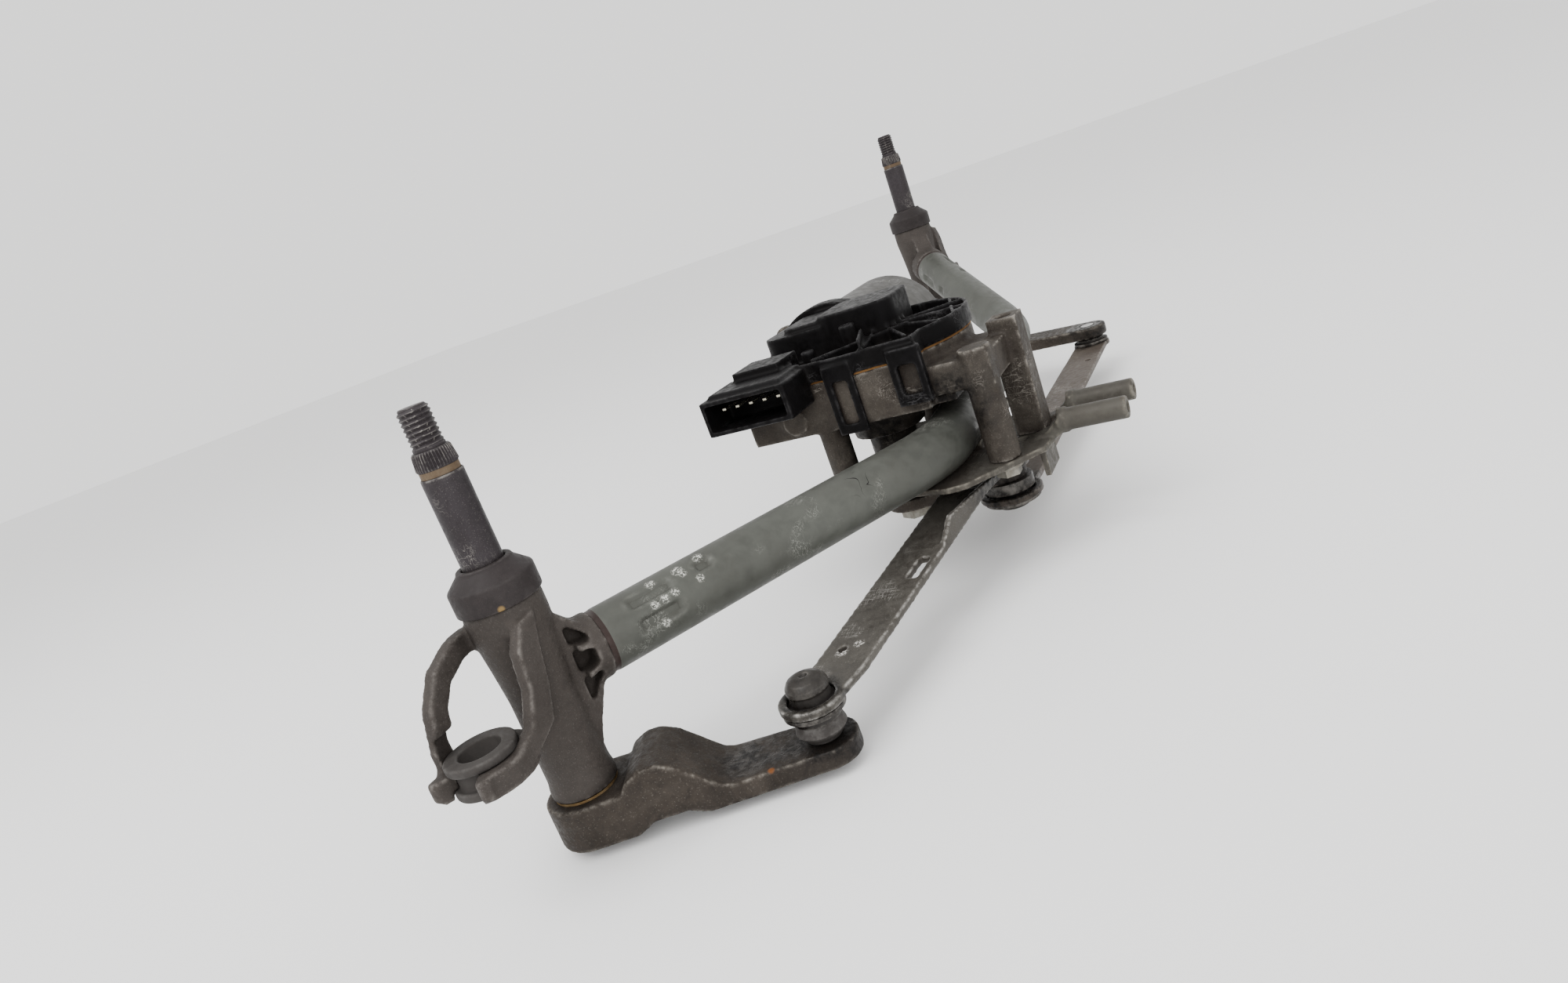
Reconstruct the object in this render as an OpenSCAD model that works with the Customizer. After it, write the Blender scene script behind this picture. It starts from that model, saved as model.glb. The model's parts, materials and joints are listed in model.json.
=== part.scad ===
// Windshield wiper linkage with motor, two pivots and rods. Millimetres, +Z up.
// Origin: middle of the near mounting grommet. +X runs from the near pivot to the far pivot.

/* [Overall] */
// Distance between the two wiper pivots
pivot_span = 462; // [380:1:560]
// Distance from a mounting grommet to its pivot
grommet_reach = 30; // [24:0.5:38]
// How much higher the far pivot sits than the near one
far_lift = 37; // [0:0.5:45]
// Outside diameter of the frame tube
tube_d = 22; // [18:0.5:27]
// Wall of the frame tube
tube_wall = 1.5; // [1:0.1:2.5]
// Middle radius of the bends in the tube
bend_r = 60; // [45:1:75]

/* [Pivots] */
// Diameter of the wiper shafts
shaft_d = 13; // [11:0.25:15.5]
// Length of bare shaft above the dust cap
shaft_up = 29; // [20:0.5:40]
// Outside diameter of the shaft bushes
bush_d = 17; // [16.5:0.25:19]
// Running clearance round shafts and balls
fit = 0.05; // [0.02:0.01:0.09]
// Radius of the dust cap
cap_r = 13.5; // [13:0.25:15]
// Length of the threaded shaft end
thread_l = 13; // [9:0.5:16]
// Radius of the threaded shaft end
thread_r = 4.95; // [4:0.05:5.2]

/* [Grommets] */
// Hole through each rubber grommet
grommet_hole = 13; // [9:0.5:15]
// Outside diameter of each grommet
grommet_d = 22; // [20:0.5:26]
// Height of each grommet
grommet_h = 11; // [9:0.5:14]

/* [Linkage] */
// Centre of the near crank ball from its pivot, along the span
near_ball_x = 34; // [28:0.5:40]
// Centre of the near crank ball from its pivot, sideways
near_ball_y = -70; // [-84:0.5:-60]
// Centre of the far crank ball from its pivot, along the span
far_ball_x = -18; // [-22:0.5:-14]
// Centre of the far crank ball from its pivot, sideways
far_ball_y = -99; // [-110:0.5:-84]
// Radius of the linkage balls
ball_r = 5; // [4.5:0.1:5.2]
// Width of the near rod
near_rod_w = 20; // [18:0.5:24]
// Width of the far rod
far_rod_w = 20; // [18:0.5:24]
// Sheet thickness of the rods
rod_t = 3; // [2:0.25:3.5]

/* [Motor] */
// Output shaft from the near pivot, along the span
motor_x = 188; // [170:1:205]
// Output shaft from the pivot line, sideways
motor_y = -58; // [-66:1:-50]
// Crank pin from the output shaft, along the span
pin_x = 11; // [8:0.5:14]
// Crank pin from the output shaft, sideways
pin_y = -40; // [-44:0.5:-34]
// Radius of the motor can
can_r = 31; // [27:0.5:33]
// Length of the motor can
can_l = 78; // [66:1:94]
// Radius of the worm wheel
wheel_r = 27; // [24:0.5:28]

/* [Hidden] */
$fn = 48;
nx = grommet_reach;
fx = nx + pivot_span;
g2 = fx + grommet_reach;
sr = shaft_d / 2;
tr = tube_d / 2;
sx = nx + motor_x;
sy = motor_y;
mx = sx + pin_x;
my = sy + pin_y;
nbx = nx + near_ball_x;
nby = near_ball_y;
fbx = fx + far_ball_x;
fby = far_ball_y;
tz = 10;
// tube corners
b1 = [sx - 35.4, sy - 33.7, tz];
b2 = [fx - 112, -78, tz];
n0 = [nx, 0, tz];
f0 = [fx, 0, tz + far_lift + 6.3];
d1 = unit(b1 - n0);
d2 = unit(b2 - b1);
d3 = unit(f0 - b2);
p_in = n0 + 22 * d1;
p_out = f0 - 22 * d3;
az_n = atan2(d1.y, d1.x);
az_f = atan2(-d3.y, -d3.x);
near_len = norm([mx - nbx, my - nby]);
near_az = atan2(my - nby, mx - nbx);
far_len = norm([mx - fbx, my - fby]);
far_az = atan2(my - fby, mx - fbx);
near_lever = norm([near_ball_x, near_ball_y]);
near_lever_az = atan2(near_ball_y, near_ball_x);
far_lever = norm([far_ball_x, far_ball_y]);
far_lever_az = atan2(far_ball_y, far_ball_x);
pin_r = norm([pin_x, pin_y]);
pin_az = atan2(pin_y, pin_x);
wx = sy + wheel_r + 4.9;   // y of the armature axis
wz = 35.5;                 // z of the armature axis
can_x0 = sx + 44;
can_x1 = can_x0 + can_l;
gz0 = 26;
gz1 = 47;
near_foot = -29.6;
far_zb = -29;
pz = -1.3;   // top of the motor plate
far_foot = -9.1 - far_lift;

function unit(v) = v / norm(v);

// ring or disc from r0 to r1, z0 to z1
module ring(r0, r1, z0, z1) {
    translate([0, 0, z0])
        linear_extrude(z1 - z0)
            difference() {
                circle(r1);
                if (r0 > 0) circle(r0);
            }
}

// children with their Z axis turned along d, starting at p
module along(p, d) {
    translate(p)
        rotate([0, acos(d.z / norm(d)), atan2(d.y, d.x)])
            children();
}

// straight run of pipe, r0 inside
module run(p, q, r, r0 = 0) {
    along(p, q - p) ring(r0, r, 0, norm(q - p));
}

// distance from a corner to where its bend starts
function bend_t(u, v) = bend_r * tan(acos(u * v) / 2);

// elbow about corner b between directions u and v
module elbow(b, u, v, r, r0 = 0) {
    phi = acos(u * v);
    s = b - bend_t(u, v) * u;
    k = unit(v - (u * v) * u);
    c = s + bend_r * k;
    x = -k;
    z = cross(x, u);
    y = u;
    translate(c)
        rotate([atan2(y.z, z.z), asin(-x.z), atan2(x.y, x.x)])
            rotate_extrude(angle = phi)
                translate([bend_r, 0])
                    difference() {
                        circle(r);
                        if (r0 > 0) circle(r0);
                    }
}

// whole bent pipe, ends lengthened by e
module bent(r, r0, e) {
    t1 = bend_t(d1, d2);
    t2 = bend_t(d2, d3);
    // each straight reaches 1 mm into its elbow, which is a hair thicker both ways
    run(p_in - e * d1, b1 - (t1 - 1) * d1, r, r0);
    elbow(b1, d1, d2, r + 0.1, r0 - 0.1);
    run(b1 + (t1 - 1) * d2, b2 - (t2 - 1) * d2, r, r0);
    elbow(b2, d2, d3, r + 0.1, r0 - 0.1);
    run(b2 + (t2 - 1) * d3, p_out + e * d3, r, r0);
}

// crimp dent pressed into the tube, s along d, turned a about it
module dent(p, d, s, a) {
    along(p, d)
        rotate([0, 0, a])
            translate([tr + 2.2, 0, s - 5.5])
                cylinder(r = 3, h = 11);
}

module frame_tube() {
    color("silver")
        difference() {
            bent(tr, tr - tube_wall, 0);
            for (a = [150, 205]) dent(p_in, d1, 18, a);
            for (a = [150, 205]) dent(p_in, d1, 34, a);
            for (a = [150, 205]) dent(p_out, -d3, 18, a);
            for (a = [150, 205]) dent(p_out, -d3, 34, a);
        }
}

// die-cast pivot housing, axis at the origin, ring toward -X
// lift raises the upper part, d is the tube direction away from the axis, cz its height at the axis
module pivot_casting(lift, foot, d, cz) {
    az = atan2(d.y, d.x);
    sl = d.z / norm([d.x, d.y]);
    difference() {
        union() {
            // barrel
            rotate_extrude()
                polygon([[0, foot], [11, foot], [11, foot + 3], [10.4, foot + 6],
                    [10.4, lift + 6], [11.3, lift + 18], [12.5, lift + 30], [12.5, lift + 37.5],
                    [11.4, lift + 37.5], [11.4, lift + 41], [0, lift + 41]]);
            // web from the barrel to the tube collar
            rotate([0, 0, az])
                difference() {
                    rotate([90, 0, 0])
                        translate([0, 0, -5.5])
                            linear_extrude(11)
                                polygon([[2, cz + 19], [10, cz + 19], [18, cz + 10 + 18 * sl],
                                    [18, cz - 10 + 18 * sl], [12, cz - 22 + 12 * sl],
                                    [9, cz - 30], [2, cz - 30]]);
                    for (s = [-1, 1])
                        translate([0, s * 5.5, 0])
                            rotate([90, 0, 0])
                                translate([0, 0, -3])
                                    linear_extrude(6)
                                        translate([0, cz + 13 * sl]) {
                                            polygon([[12.6, 13], [12.6, 6], [16.6, 6]]);
                                            polygon([[12.6, 3.5], [12.6, -4], [16.6, -0.5]]);
                                            polygon([[12.6, -7], [12.6, -15], [16.6, -8.5]]);
                                        }
                }
            // tube collar and the spigot inside the tube
            along([0, 0, cz] + 13 * d, d) cylinder(r = tr + 0.4, h = 9);
            along([0, 0, cz] + 21 * d, d) cylinder(r = tr - tube_wall, h = 28);
            // ring round the grommet
            translate([-grommet_reach, 0, lift])
                difference() {
                    union() {
                        ring(grommet_d / 2 - 2, grommet_d / 2 + 3.5, -2.5, 2.5);
                        ring(grommet_d / 2 + 0.4, grommet_d / 2 + 3.5, -5, 2.5);
                    }
                    translate([-30, 0, 0])
                        linear_extrude(20, center = true)
                            polygon([[-5, -22], [30, 0], [-5, 22]]);
                }
            for (s = [-1, 1])
                translate([-grommet_reach - 11, s * 9.6, lift - 4])
                    ring(0, 2.2, 0, 6.5);
            // curved arms to the ring
            arm(lift, 1, [[-8, 34], [-16, 33.5], [-26, 29], [-33, 20], [-36.5, 8], [-36.5, -2.5],
                [-28, -2.5], [-29, 8], [-27, 17], [-22, 23], [-14, 26.5], [-4, 27]], 8, 4.6);
            arm(lift, -1, [[-2, 34], [-9, 33], [-14, 26], [-16, 14], [-21, 5], [-30, 2.5],
                [-36, 2.5], [-36, -2.5], [-22, -2.5], [-12, 2], [-8, 12], [-5, 24]], 9, 4.6);
        }
        // room for the grommet in the ring and between the arms
        translate([-grommet_reach, 0, lift]) {
            ring(0, grommet_d / 2 - 2 + fit, -8, 12);
            ring(0, grommet_d / 2 + 0.3, 2.5, 12);
            ring(0, grommet_d / 2 + 0.3, -8, -2.5);
        }
        // shaft bore with bush seats
        ring(0, sr + 0.5, foot - 1, lift + 42);
        ring(0, bush_d / 2, lift + 22, lift + 36);
        ring(0, bush_d / 2, foot - 1, foot + 16);
        ring(0, sr + 2.6, lift + 38, lift + 42);
        // holes the bores of the spigot leave light
        along([0, 0, cz] + 30 * d, d) cylinder(r = tr - tube_wall - 3, h = 40);
    }
}

module arm(lift, s, pts, y, t) {
    translate([0, s * (y + t / 2), lift])
        rotate([90, 0, 0])
            linear_extrude(t, center = true)
                polygon(pts);
}

module near_pivot_housing() {
    color("dimgray")
        translate([nx, 0, 0]) pivot_casting(0, near_foot, d1, tz);
}

module far_pivot_housing() {
    color("dimgray")
        translate([fx, 0, 0])
            mirror([1, 0, 0])
                pivot_casting(far_lift, far_foot + far_lift, [d3.x, -d3.y, -d3.z], f0.z);
}

module grommet() {
    rotate_extrude()
        polygon([[grommet_hole / 2, -grommet_h / 2], [grommet_d / 2 - 1, -grommet_h / 2],
            [grommet_d / 2, 1 - grommet_h / 2], [grommet_d / 2, -2.5], [grommet_d / 2 - 2, -2.5],
            [grommet_d / 2 - 2, 2.5], [grommet_d / 2, 2.5], [grommet_d / 2, grommet_h / 2 - 1],
            [grommet_d / 2 - 1, grommet_h / 2], [grommet_hole / 2, grommet_h / 2]]);
}

module near_grommet() {
    color("darkslategray") grommet();
}

module far_grommet() {
    color("darkslategray")
        translate([g2, 0, far_lift]) grommet();
}

module dust_cap() {
    rotate_extrude()
        polygon([[11.4, 37.5], [cap_r, 37.5], [cap_r, 45], [cap_r - 0.4, 45.4], [8.5, 49.5],
            [8.5, 50.5], [sr + 0.35, 50.5], [sr + 0.35, 48.6], [11.4, 44]]);
}

module near_dust_cap() {
    color("black")
        translate([nx, 0, 0]) dust_cap();
}

module far_dust_cap() {
    color("black")
        translate([fx, 0, far_lift]) dust_cap();
}

module bush(z0, z1) {
    ring(sr + fit, bush_d / 2, z0, z1);
}

module near_upper_bush() {
    color("tan")
        translate([nx, 0, 0]) bush(22, 36);
}

module near_lower_bush() {
    color("tan")
        translate([nx, 0, 0]) bush(near_foot, near_foot + 16);
}

module far_upper_bush() {
    color("tan")
        translate([fx, 0, far_lift]) bush(22, 36);
}

module far_lower_bush() {
    color("tan")
        translate([fx, 0, far_lift]) bush(far_foot, far_foot + 16);
}

module seal() {
    ring(sr + fit, sr + 2.6, 38, 40.4);
}

module near_shaft_seal() {
    color("black")
        translate([nx, 0, 0]) seal();
}

module far_shaft_seal() {
    color("black")
        translate([fx, 0, far_lift]) seal();
}

// pivot shaft from its riveted lower end to the threaded tip
module pivot_shaft(low) {
    t = 50.5 + shaft_up;
    rotate_extrude()
        polygon([[0, low], [sr - 0.8, low], [sr, low + 0.8], [sr, 41.4], [sr - 0.9, 41.4],
            [sr - 0.9, 42.6], [sr, 42.6], [sr, t], [sr - 0.6, t], [sr - 0.6, t + 2.2],
            [sr - 0.3, t + 2.2], [sr - 0.8, t + 8], [thread_r, t + 8],
            [thread_r, t + 8 + thread_l - 1.2], [thread_r - 1.2, t + 8 + thread_l],
            [0, t + 8 + thread_l]]);
}

module near_shaft() {
    color("gray")
        translate([nx, 0, 0]) pivot_shaft(-47);
}

module far_shaft() {
    color("gray")
        translate([fx, 0, far_lift]) pivot_shaft(far_foot - 17.4);
}

module near_thrust_washer() {
    color("tan")
        translate([nx, 0, 0]) ring(sr, 10.5, near_foot - 0.9, near_foot - 0.1);
}

module far_thrust_washer() {
    color("tan")
        translate([fx, 0, far_lift]) ring(sr, 10.5, far_foot - 0.9, far_foot - 0.1);
}

// open spring ring in the shaft groove
module circlip() {
    difference() {
        ring(sr - 0.9, sr + 2.7, 41.4, 42.6);
        translate([0, -1.5, 40]) cube([20, 3, 4]);
    }
}

module near_circlip() {
    color("darkgray")
        translate([nx, 0, 0]) circlip();
}

module far_circlip() {
    color("darkgray")
        translate([fx, 0, far_lift]) circlip();
}

// plan of a lever with a round hub and a round end
module lever_plan(l, r0, r1) {
    circle(r0);
    translate([l, 0]) circle(r1);
    polygon([[0, 0.1 - r0], [l, 0.1 - r1], [l, r1 - 0.1], [0, r0 - 0.1]]);
}

// forged lever with a humped neck, hub on the shaft
module near_crank_lever() {
    l = near_lever;
    top = near_foot - 0.9;
    color("gray")
        translate([nx, 0, 0])
            rotate([0, 0, near_lever_az])
                difference() {
                    intersection() {
                        translate([0, 0, -60]) linear_extrude(60) lever_plan(l, 14, 11);
                        rotate([90, 0, 0])
                            linear_extrude(40, center = true)
                                polygon([[-16, -46], [14, -46], [20, -43], [31, -43], [38, -46],
                                    [l + 12, -46], [l + 12, -39], [48, -39], [44, -38],
                                    [32, -27], [27, -24.5], [21, -24.5], [16, -27],
                                    [13.5, top], [-16, top]]);
                    }
                    ring(0, sr, -60, 0);
                    translate([l, 0, 0]) ring(0, 4, -60, 0);
                }
}

// ball on a riveted neck, z of the ball, neck side -1 below or 1 above, flange at the lever face
module ball_stud(zb, face, far_face) {
    translate([0, 0, zb]) sphere(ball_r);
    ring(0, 3.4, min(zb, face), max(zb, face));
    ring(0, 4, min(face, far_face), max(face, far_face));
}

module near_ball_stud() {
    color("lightgray")
        translate([nbx, nby, 0]) ball_stud(-27, -39, -46);
}

module far_crank_lever() {
    l = far_lever;
    z1 = far_foot + far_lift - 0.9;
    color("gray")
        translate([fx, 0, 0])
            rotate([0, 0, far_lever_az])
                difference() {
                    intersection() {
                        translate([0, 0, -60]) linear_extrude(60) lever_plan(l, 14, 11);
                        rotate([90, 0, 0])
                            linear_extrude(40, center = true)
                                polygon([[-16, -26], [20, -26], [34, -24], [l + 12, -24],
                                    [l + 12, -17], [38, -17], [26, -15], [17, -12],
                                    [13.5, z1], [-16, z1]]);
                    }
                    ring(0, sr, -60, 0);
                    translate([l, 0, 0]) ring(0, 4, -60, 0);
                }
}

module far_ball_stud() {
    color("lightgray")
        translate([fbx, fby, 0]) ball_stud(far_zb, -24, -17);
}

// socket shell round a ball: opening below, dome above
module socket_shell(dome, low) {
    difference() {
        rotate_extrude()
            polygon([[0, -low], [8, -low], [8, -2], [10.5, -2], [10.5, -0.4],
                [8, -0.4], [8, 4], [6.5, dome - 1.5], [4, dome], [0, dome]]);
        sphere(ball_r + fit);
        ring(0, 4.1, -low - 1, 0);
    }
}

module near_rod_socket() {
    color("dimgray")
        translate([nbx, nby, -27]) socket_shell(10, ball_r);
}

module far_rod_socket() {
    color("dimgray")
        translate([fbx, fby, far_zb]) mirror([0, 0, 1]) socket_shell(7.5, 3.8);
}

// soft boot under a socket
module boot(z0, z1) {
    rotate_extrude()
        polygon([[4.2, z0], [6, z0], [8.6, (z0 + z1) / 2], [7.6, z1], [5.6, z1],
            [6.4, (z0 + z1) / 2]]);
}

module near_rod_boot() {
    color("black")
        translate([nbx, nby, -27]) boot(-11.7, -ball_r);
}

module far_rod_boot() {
    color("black")
        translate([fbx, fby, far_zb]) mirror([0, 0, 1]) boot(-4.7, -3.8);
}

// pressed strip with a raised side flange; level at both ends
module near_rod_bar() {
    l = near_len;
    t = rod_t;
    w = near_rod_w / 2;
    za = -27.4;
    zb = -12.5 - t / 2;
    pr = [[-16, za], [18, za], [l - 42, zb], [l + 16, zb], [l + 16, zb + t], [l - 42, zb + t],
        [18, za + t], [-16, za + t]];
    color("gray")
        translate([nbx, nby, 0])
            rotate([0, 0, near_az])
                difference() {
                    union() {
                        intersection() {
                            translate([0, 0, -50]) linear_extrude(60) union() {
                                circle(w + 1);
                                translate([0, -w]) square([l, 2 * w]);
                                translate([l, 0]) circle(14);
                            }
                            rotate([90, 0, 0]) linear_extrude(40, center = true) polygon(pr);
                        }
                        // side flange
                        translate([0, -w + 2.2, 0])
                            rotate([90, 0, 0])
                                linear_extrude(2.2)
                                    polygon([[80, za + 62 * (zb - za) / (l - 60)],
                                        [l - 40, zb], [l - 26, zb], [l - 26, zb + t],
                                        [l - 40, zb + t + 1.4],
                                        [96, za + t + 6 + 78 * (zb - za) / (l - 60)]]);
                    }
                    ring(0, 8, -60, 0);
                    translate([l, 0, 0]) ring(0, sp_n, -60, 0);
                    // lanced window
                    translate([66, -w + 3, -60]) cube([13, 4.5, 60]);
                    translate([26, 3, 0]) ring(0, 1.6, -60, 0);
                }
}

// eye radii that leave room for the spools at the open pivots
sp_n = 10.6;
sp_f = 10.9;

module far_rod_bar() {
    l = far_len;
    t = rod_t;
    w = far_rod_w / 2;
    color("gray")
        translate([fbx, fby, 0])
            rotate([0, 0, far_az])
                difference() {
                    translate([0, 0, far_zb + 0.4 - t]) linear_extrude(t) union() {
                        circle(w + 1);
                        translate([0, -w]) square([l, 2 * w]);
                        translate([l, 0]) circle(14);
                    }
                    ring(0, 8, -60, 0);
                    translate([l, 0, 0]) ring(0, sp_f, -60, 0);
                    translate([44, 4, 0]) ring(0, 1.8, -60, 0);
                }
}

// tapered output shaft of the gear
module output_shaft() {
    color("silver")
        translate([sx, sy, 0])
            rotate_extrude()
                polygon([[0, -28], [3.2, -28], [4, -27], [4, -23], [4.6, -23], [5.4, -18],
                    [6, -17.6], [6, 31], [7, 31], [7, 33], [5, 33], [5, 44], [0, 44]]);
}

module motor_crank_arm() {
    color("dimgray")
        translate([sx, sy, 0])
            difference() {
                translate([0, 0, -23])
                    rotate([0, 0, pin_az])
                        linear_extrude(5) lever_plan(pin_r, 12, 9);
                translate([0, 0, -23]) cylinder(r1 = 4.6, r2 = 5.4, h = 5);
                translate([pin_x, pin_y, 0]) ring(0, 4, -24, 0);
            }
}

module crank_nut() {
    color("silver")
        translate([sx, sy, 0])
            difference() {
                union() {
                    translate([0, 0, -28]) linear_extrude(5) circle(7.5, $fn = 6);
                    ring(0, 8.6, -24, -23);
                }
                ring(0, 4, -30, 0);
            }
}

// stud with a ball above and a ball below the crank
module crank_ball_stud() {
    color("lightgray")
        translate([mx, my, 0]) {
            translate([0, 0, -12.5]) sphere(ball_r);
            translate([0, 0, -30]) sphere(ball_r);
            ring(0, 3.4, -30, -12.5);
            ring(0, 4, -23, -18);
        }
}

// bearing spool on a crank ball: neck, flange and closed dome
module spool(flange, dome) {
    difference() {
        rotate_extrude()
            polygon([[0, -5.5], [11, -5.5], [11, -flange], [6.6, -flange], [6.6, 1.9],
                [12, 1.9], [12, 3.1], [7, dome - 1], [5.5, dome], [0, dome]]);
        sphere(ball_r + fit);
        ring(0, 3.4, -8, 0);
    }
}

module near_rod_spool() {
    color("dimgray")
        translate([mx, my, -12.5]) spool(2, 6.6);
}

module far_rod_spool() {
    color("dimgray")
        translate([mx, my, -30])
            mirror([0, 0, 1])
                difference() {
                    rotate_extrude()
                        polygon([[0, -7], [11, -7], [11, -2], [6.6, -2], [6.6, 1.9],
                            [12.5, 1.9], [12.5, 3.1], [8, 6], [6, 7], [0, 7]]);
                    sphere(ball_r + fit);
                    ring(0, 3.4, -8, 0);
                }
}

module worm_wheel() {
    color("white")
        translate([sx, sy, 0])
            difference() {
                union() {
                    difference() {
                        ring(0, wheel_r, 31.5, 39.5);
                        ring(10, wheel_r - 4, 37.5, 40);
                    }
                    ring(0, 9, 33, 42);
                    for (a = [0:30:330])
                        rotate([0, 0, a])
                            translate([9, -0.8, 35]) cube([wheel_r - 12, 1.6, 4]);
                }
                ring(0, 7, 30, 33);
                ring(0, 5, 30, 50);
                translate([17, 0, 0]) ring(0, 2.5, 34, 60);
                for (i = [0:59])
                    rotate([0, 0, i * 6])
                        translate([wheel_r + 0.1, 0, 30]) cylinder(r = 0.8, h = 12, $fn = 16);
            }
}

module park_magnet() {
    color("dimgray")
        translate([sx, sy, 0])
            translate([17, 0, 0]) ring(0, 2.5, 34, 38.5);
}

// plan of the gear housing
module gear_plan(e) {
    translate([sx + 6, sy - 3]) circle(41 + e);
    translate([sx - 33 - e, sy - 33 - e]) square([40, 56 + 2 * e]);
    translate([sx - 33 - e, wx - 10 - e]) square([can_x0 - sx + 29 + 2 * e, 27 + 2 * e]);
}

module gear_housing() {
    color("dimgray")
        difference() {
            union() {
                translate([0, 0, gz0]) linear_extrude(gz1 - gz0) gear_plan(0);
                // snout round the output shaft
                translate([sx, sy, 0]) ring(0, 10.5, -8, gz0);
                translate([sx, sy, 0]) ring(0, 16, 14, gz0);
                // legs and screw bosses down to the bracket
                leg(sx - 28, -112, 6.5, gz0 + 19);
                leg(sx - 27, sy + 14, 6, gz0);
                leg(sx + 37, sy - 8, 6, gz0 + 12);
                translate([sx - 4.2, -124, pz]) cube([13.4, 12, 49.3]);
                translate([sx - 32.5, -118, gz0 + 4]) cube([42.5, 26, 12]);
                translate([sx - 28, -100, gz0]) cube([36, 12, 16]);
                // motor flange with two ears
                on_axis(can_x0 - 5) {
                    ring(0, can_r, 0, 5);
                    ears(0, 5);
                }
                // round boss on the front wall
                along([sx - 35, wx - 6, 33.4], [1, 0, 0]) cylinder(r = 6, h = 3);
            }
            // room for the wheel and the worm
            translate([sx, sy, 0]) ring(0, wheel_r + 1.2, 29.5, 60);
            translate([sx - 24, wx - 8, 29]) cube([can_x0 - sx + 16, 16, 30]);
            along([sx - 31.5, wx, wz], [1, 0, 0]) cylinder(r = 5, h = 20);
            along([sx - 29.5, wx, wz], [1, 0, 0]) cylinder(r = 7, h = 6);
            along([can_x0 - 9, wx, wz], [1, 0, 0]) cylinder(r = 7, h = 8);
            along([can_x0 - 12, wx, wz], [1, 0, 0]) cylinder(r = 4.5, h = 20);
            // output shaft bore
            translate([sx, sy, 0]) ring(0, 8, -9, 22);
            translate([sx, sy, 0]) ring(0, 6.4, -9, 32);
            // screw holes
            translate([sx - 28, -112, 0]) ring(0, 3, -2, 12);
            translate([sx - 27, sy + 14, 0]) ring(0, 3, -2, 12);
            translate([sx + 37, sy - 8, 0]) ring(0, 3, -2, 12);
            translate([sx + 2, -118, 0]) ring(0, 3.2, 20, 50);
            for (p = cover_pts()) translate([p.x, p.y, 0]) ring(0, 1.6, gz1 - 7, 60);
            on_axis(can_x0 - 6) ear_holes(2, 20);
            // room for the can
            on_axis(can_x0) ring(0, can_r + 0.3, 0, 20);
            on_axis(can_x0) ears(0, 20);
        }
}

module leg(x, y, r, top) {
    translate([x, y, 0]) ring(0, r, pz, top);
}

function cover_pts() = [[sx - 29, sy - 27], [sx - 28.5, sy + 15], [sx + 20, sy - 36]];

// two ears on the rim of the can, as places and as holes
module ears(z0, z1) {
    for (a = [135, 315])
        rotate([0, 0, a]) {
            translate([can_r + 2.5, 0, 0]) ring(0, 4.5, z0, z1);
            translate([can_r - 4, -4.5, z0]) cube([6.5, 9, z1 - z0]);
        }
}

module ear_holes(r, h) {
    for (a = [135, 315])
        rotate([0, 0, a])
            translate([can_r + 2.5, 0, 0]) cylinder(r = r, h = h);
}

module output_bush() {
    color("tan")
        translate([sx, sy, 0]) ring(6 + fit, 8, -8, 22);
}

module front_bearing() {
    color("tan")
        along([sx - 29.5, wx, wz], [1, 0, 0]) ring(3 + fit, 7, 0, 5);
}

module rear_bearing() {
    color("tan")
        along([can_x0 - 8.5, wx, wz], [1, 0, 0]) ring(4 + fit, 7, 0, 6);
}

module cover_gasket() {
    color("saddlebrown")
        difference() {
            translate([0, 0, gz1]) linear_extrude(0.8) gear_plan(0);
            difference() {
                translate([0, 0, gz1 - 1]) linear_extrude(4) gear_plan(-3);
                for (p = cover_pts()) translate([p.x, p.y, gz1 - 2]) cylinder(r = 4.5, h = 6);
            }
            for (p = cover_pts()) translate([p.x, p.y, 0]) ring(0, 1.6, 40, 60);
            on_axis(can_x0 - 5.4) ring(0, can_r + 0.4, 0, 30);
        }
}

// rounded rectangle from (x0, y0), w by d, corner radius r
module round_box(x0, y0, w, d, r) {
    translate([x0 + r, y0]) square([w - 2 * r, d]);
    translate([x0, y0 + r]) square([w, d - 2 * r]);
    for (x = [x0 + r, x0 + w - r])
        for (y = [y0 + r, y0 + d - r])
            translate([x, y]) circle(r);
}

// straight rib from a to b in plan, from the cover plate up to z1
module rib(a, b, z1) {
    translate([a.x, a.y, gz1 + 3])
        rotate([0, 0, atan2(b.y - a.y, b.x - a.x)])
            translate([0, -0.7, 0]) cube([norm(b - a), 1.4, z1 - gz1 - 3]);
}

// spring loop down the front wall: outer width w, bars 3 thick, foot at z1
module clip_loop(y, w, z1) {
    difference() {
        translate([sx - 36.6, y - w / 2, z1]) cube([3.6, w, gz1 + 6 - z1]);
        translate([sx - 38, y - w / 2 + 3.2, z1 + 4]) cube([8, w - 6.4, gz1 - z1 - 5]);
    }
}

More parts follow.
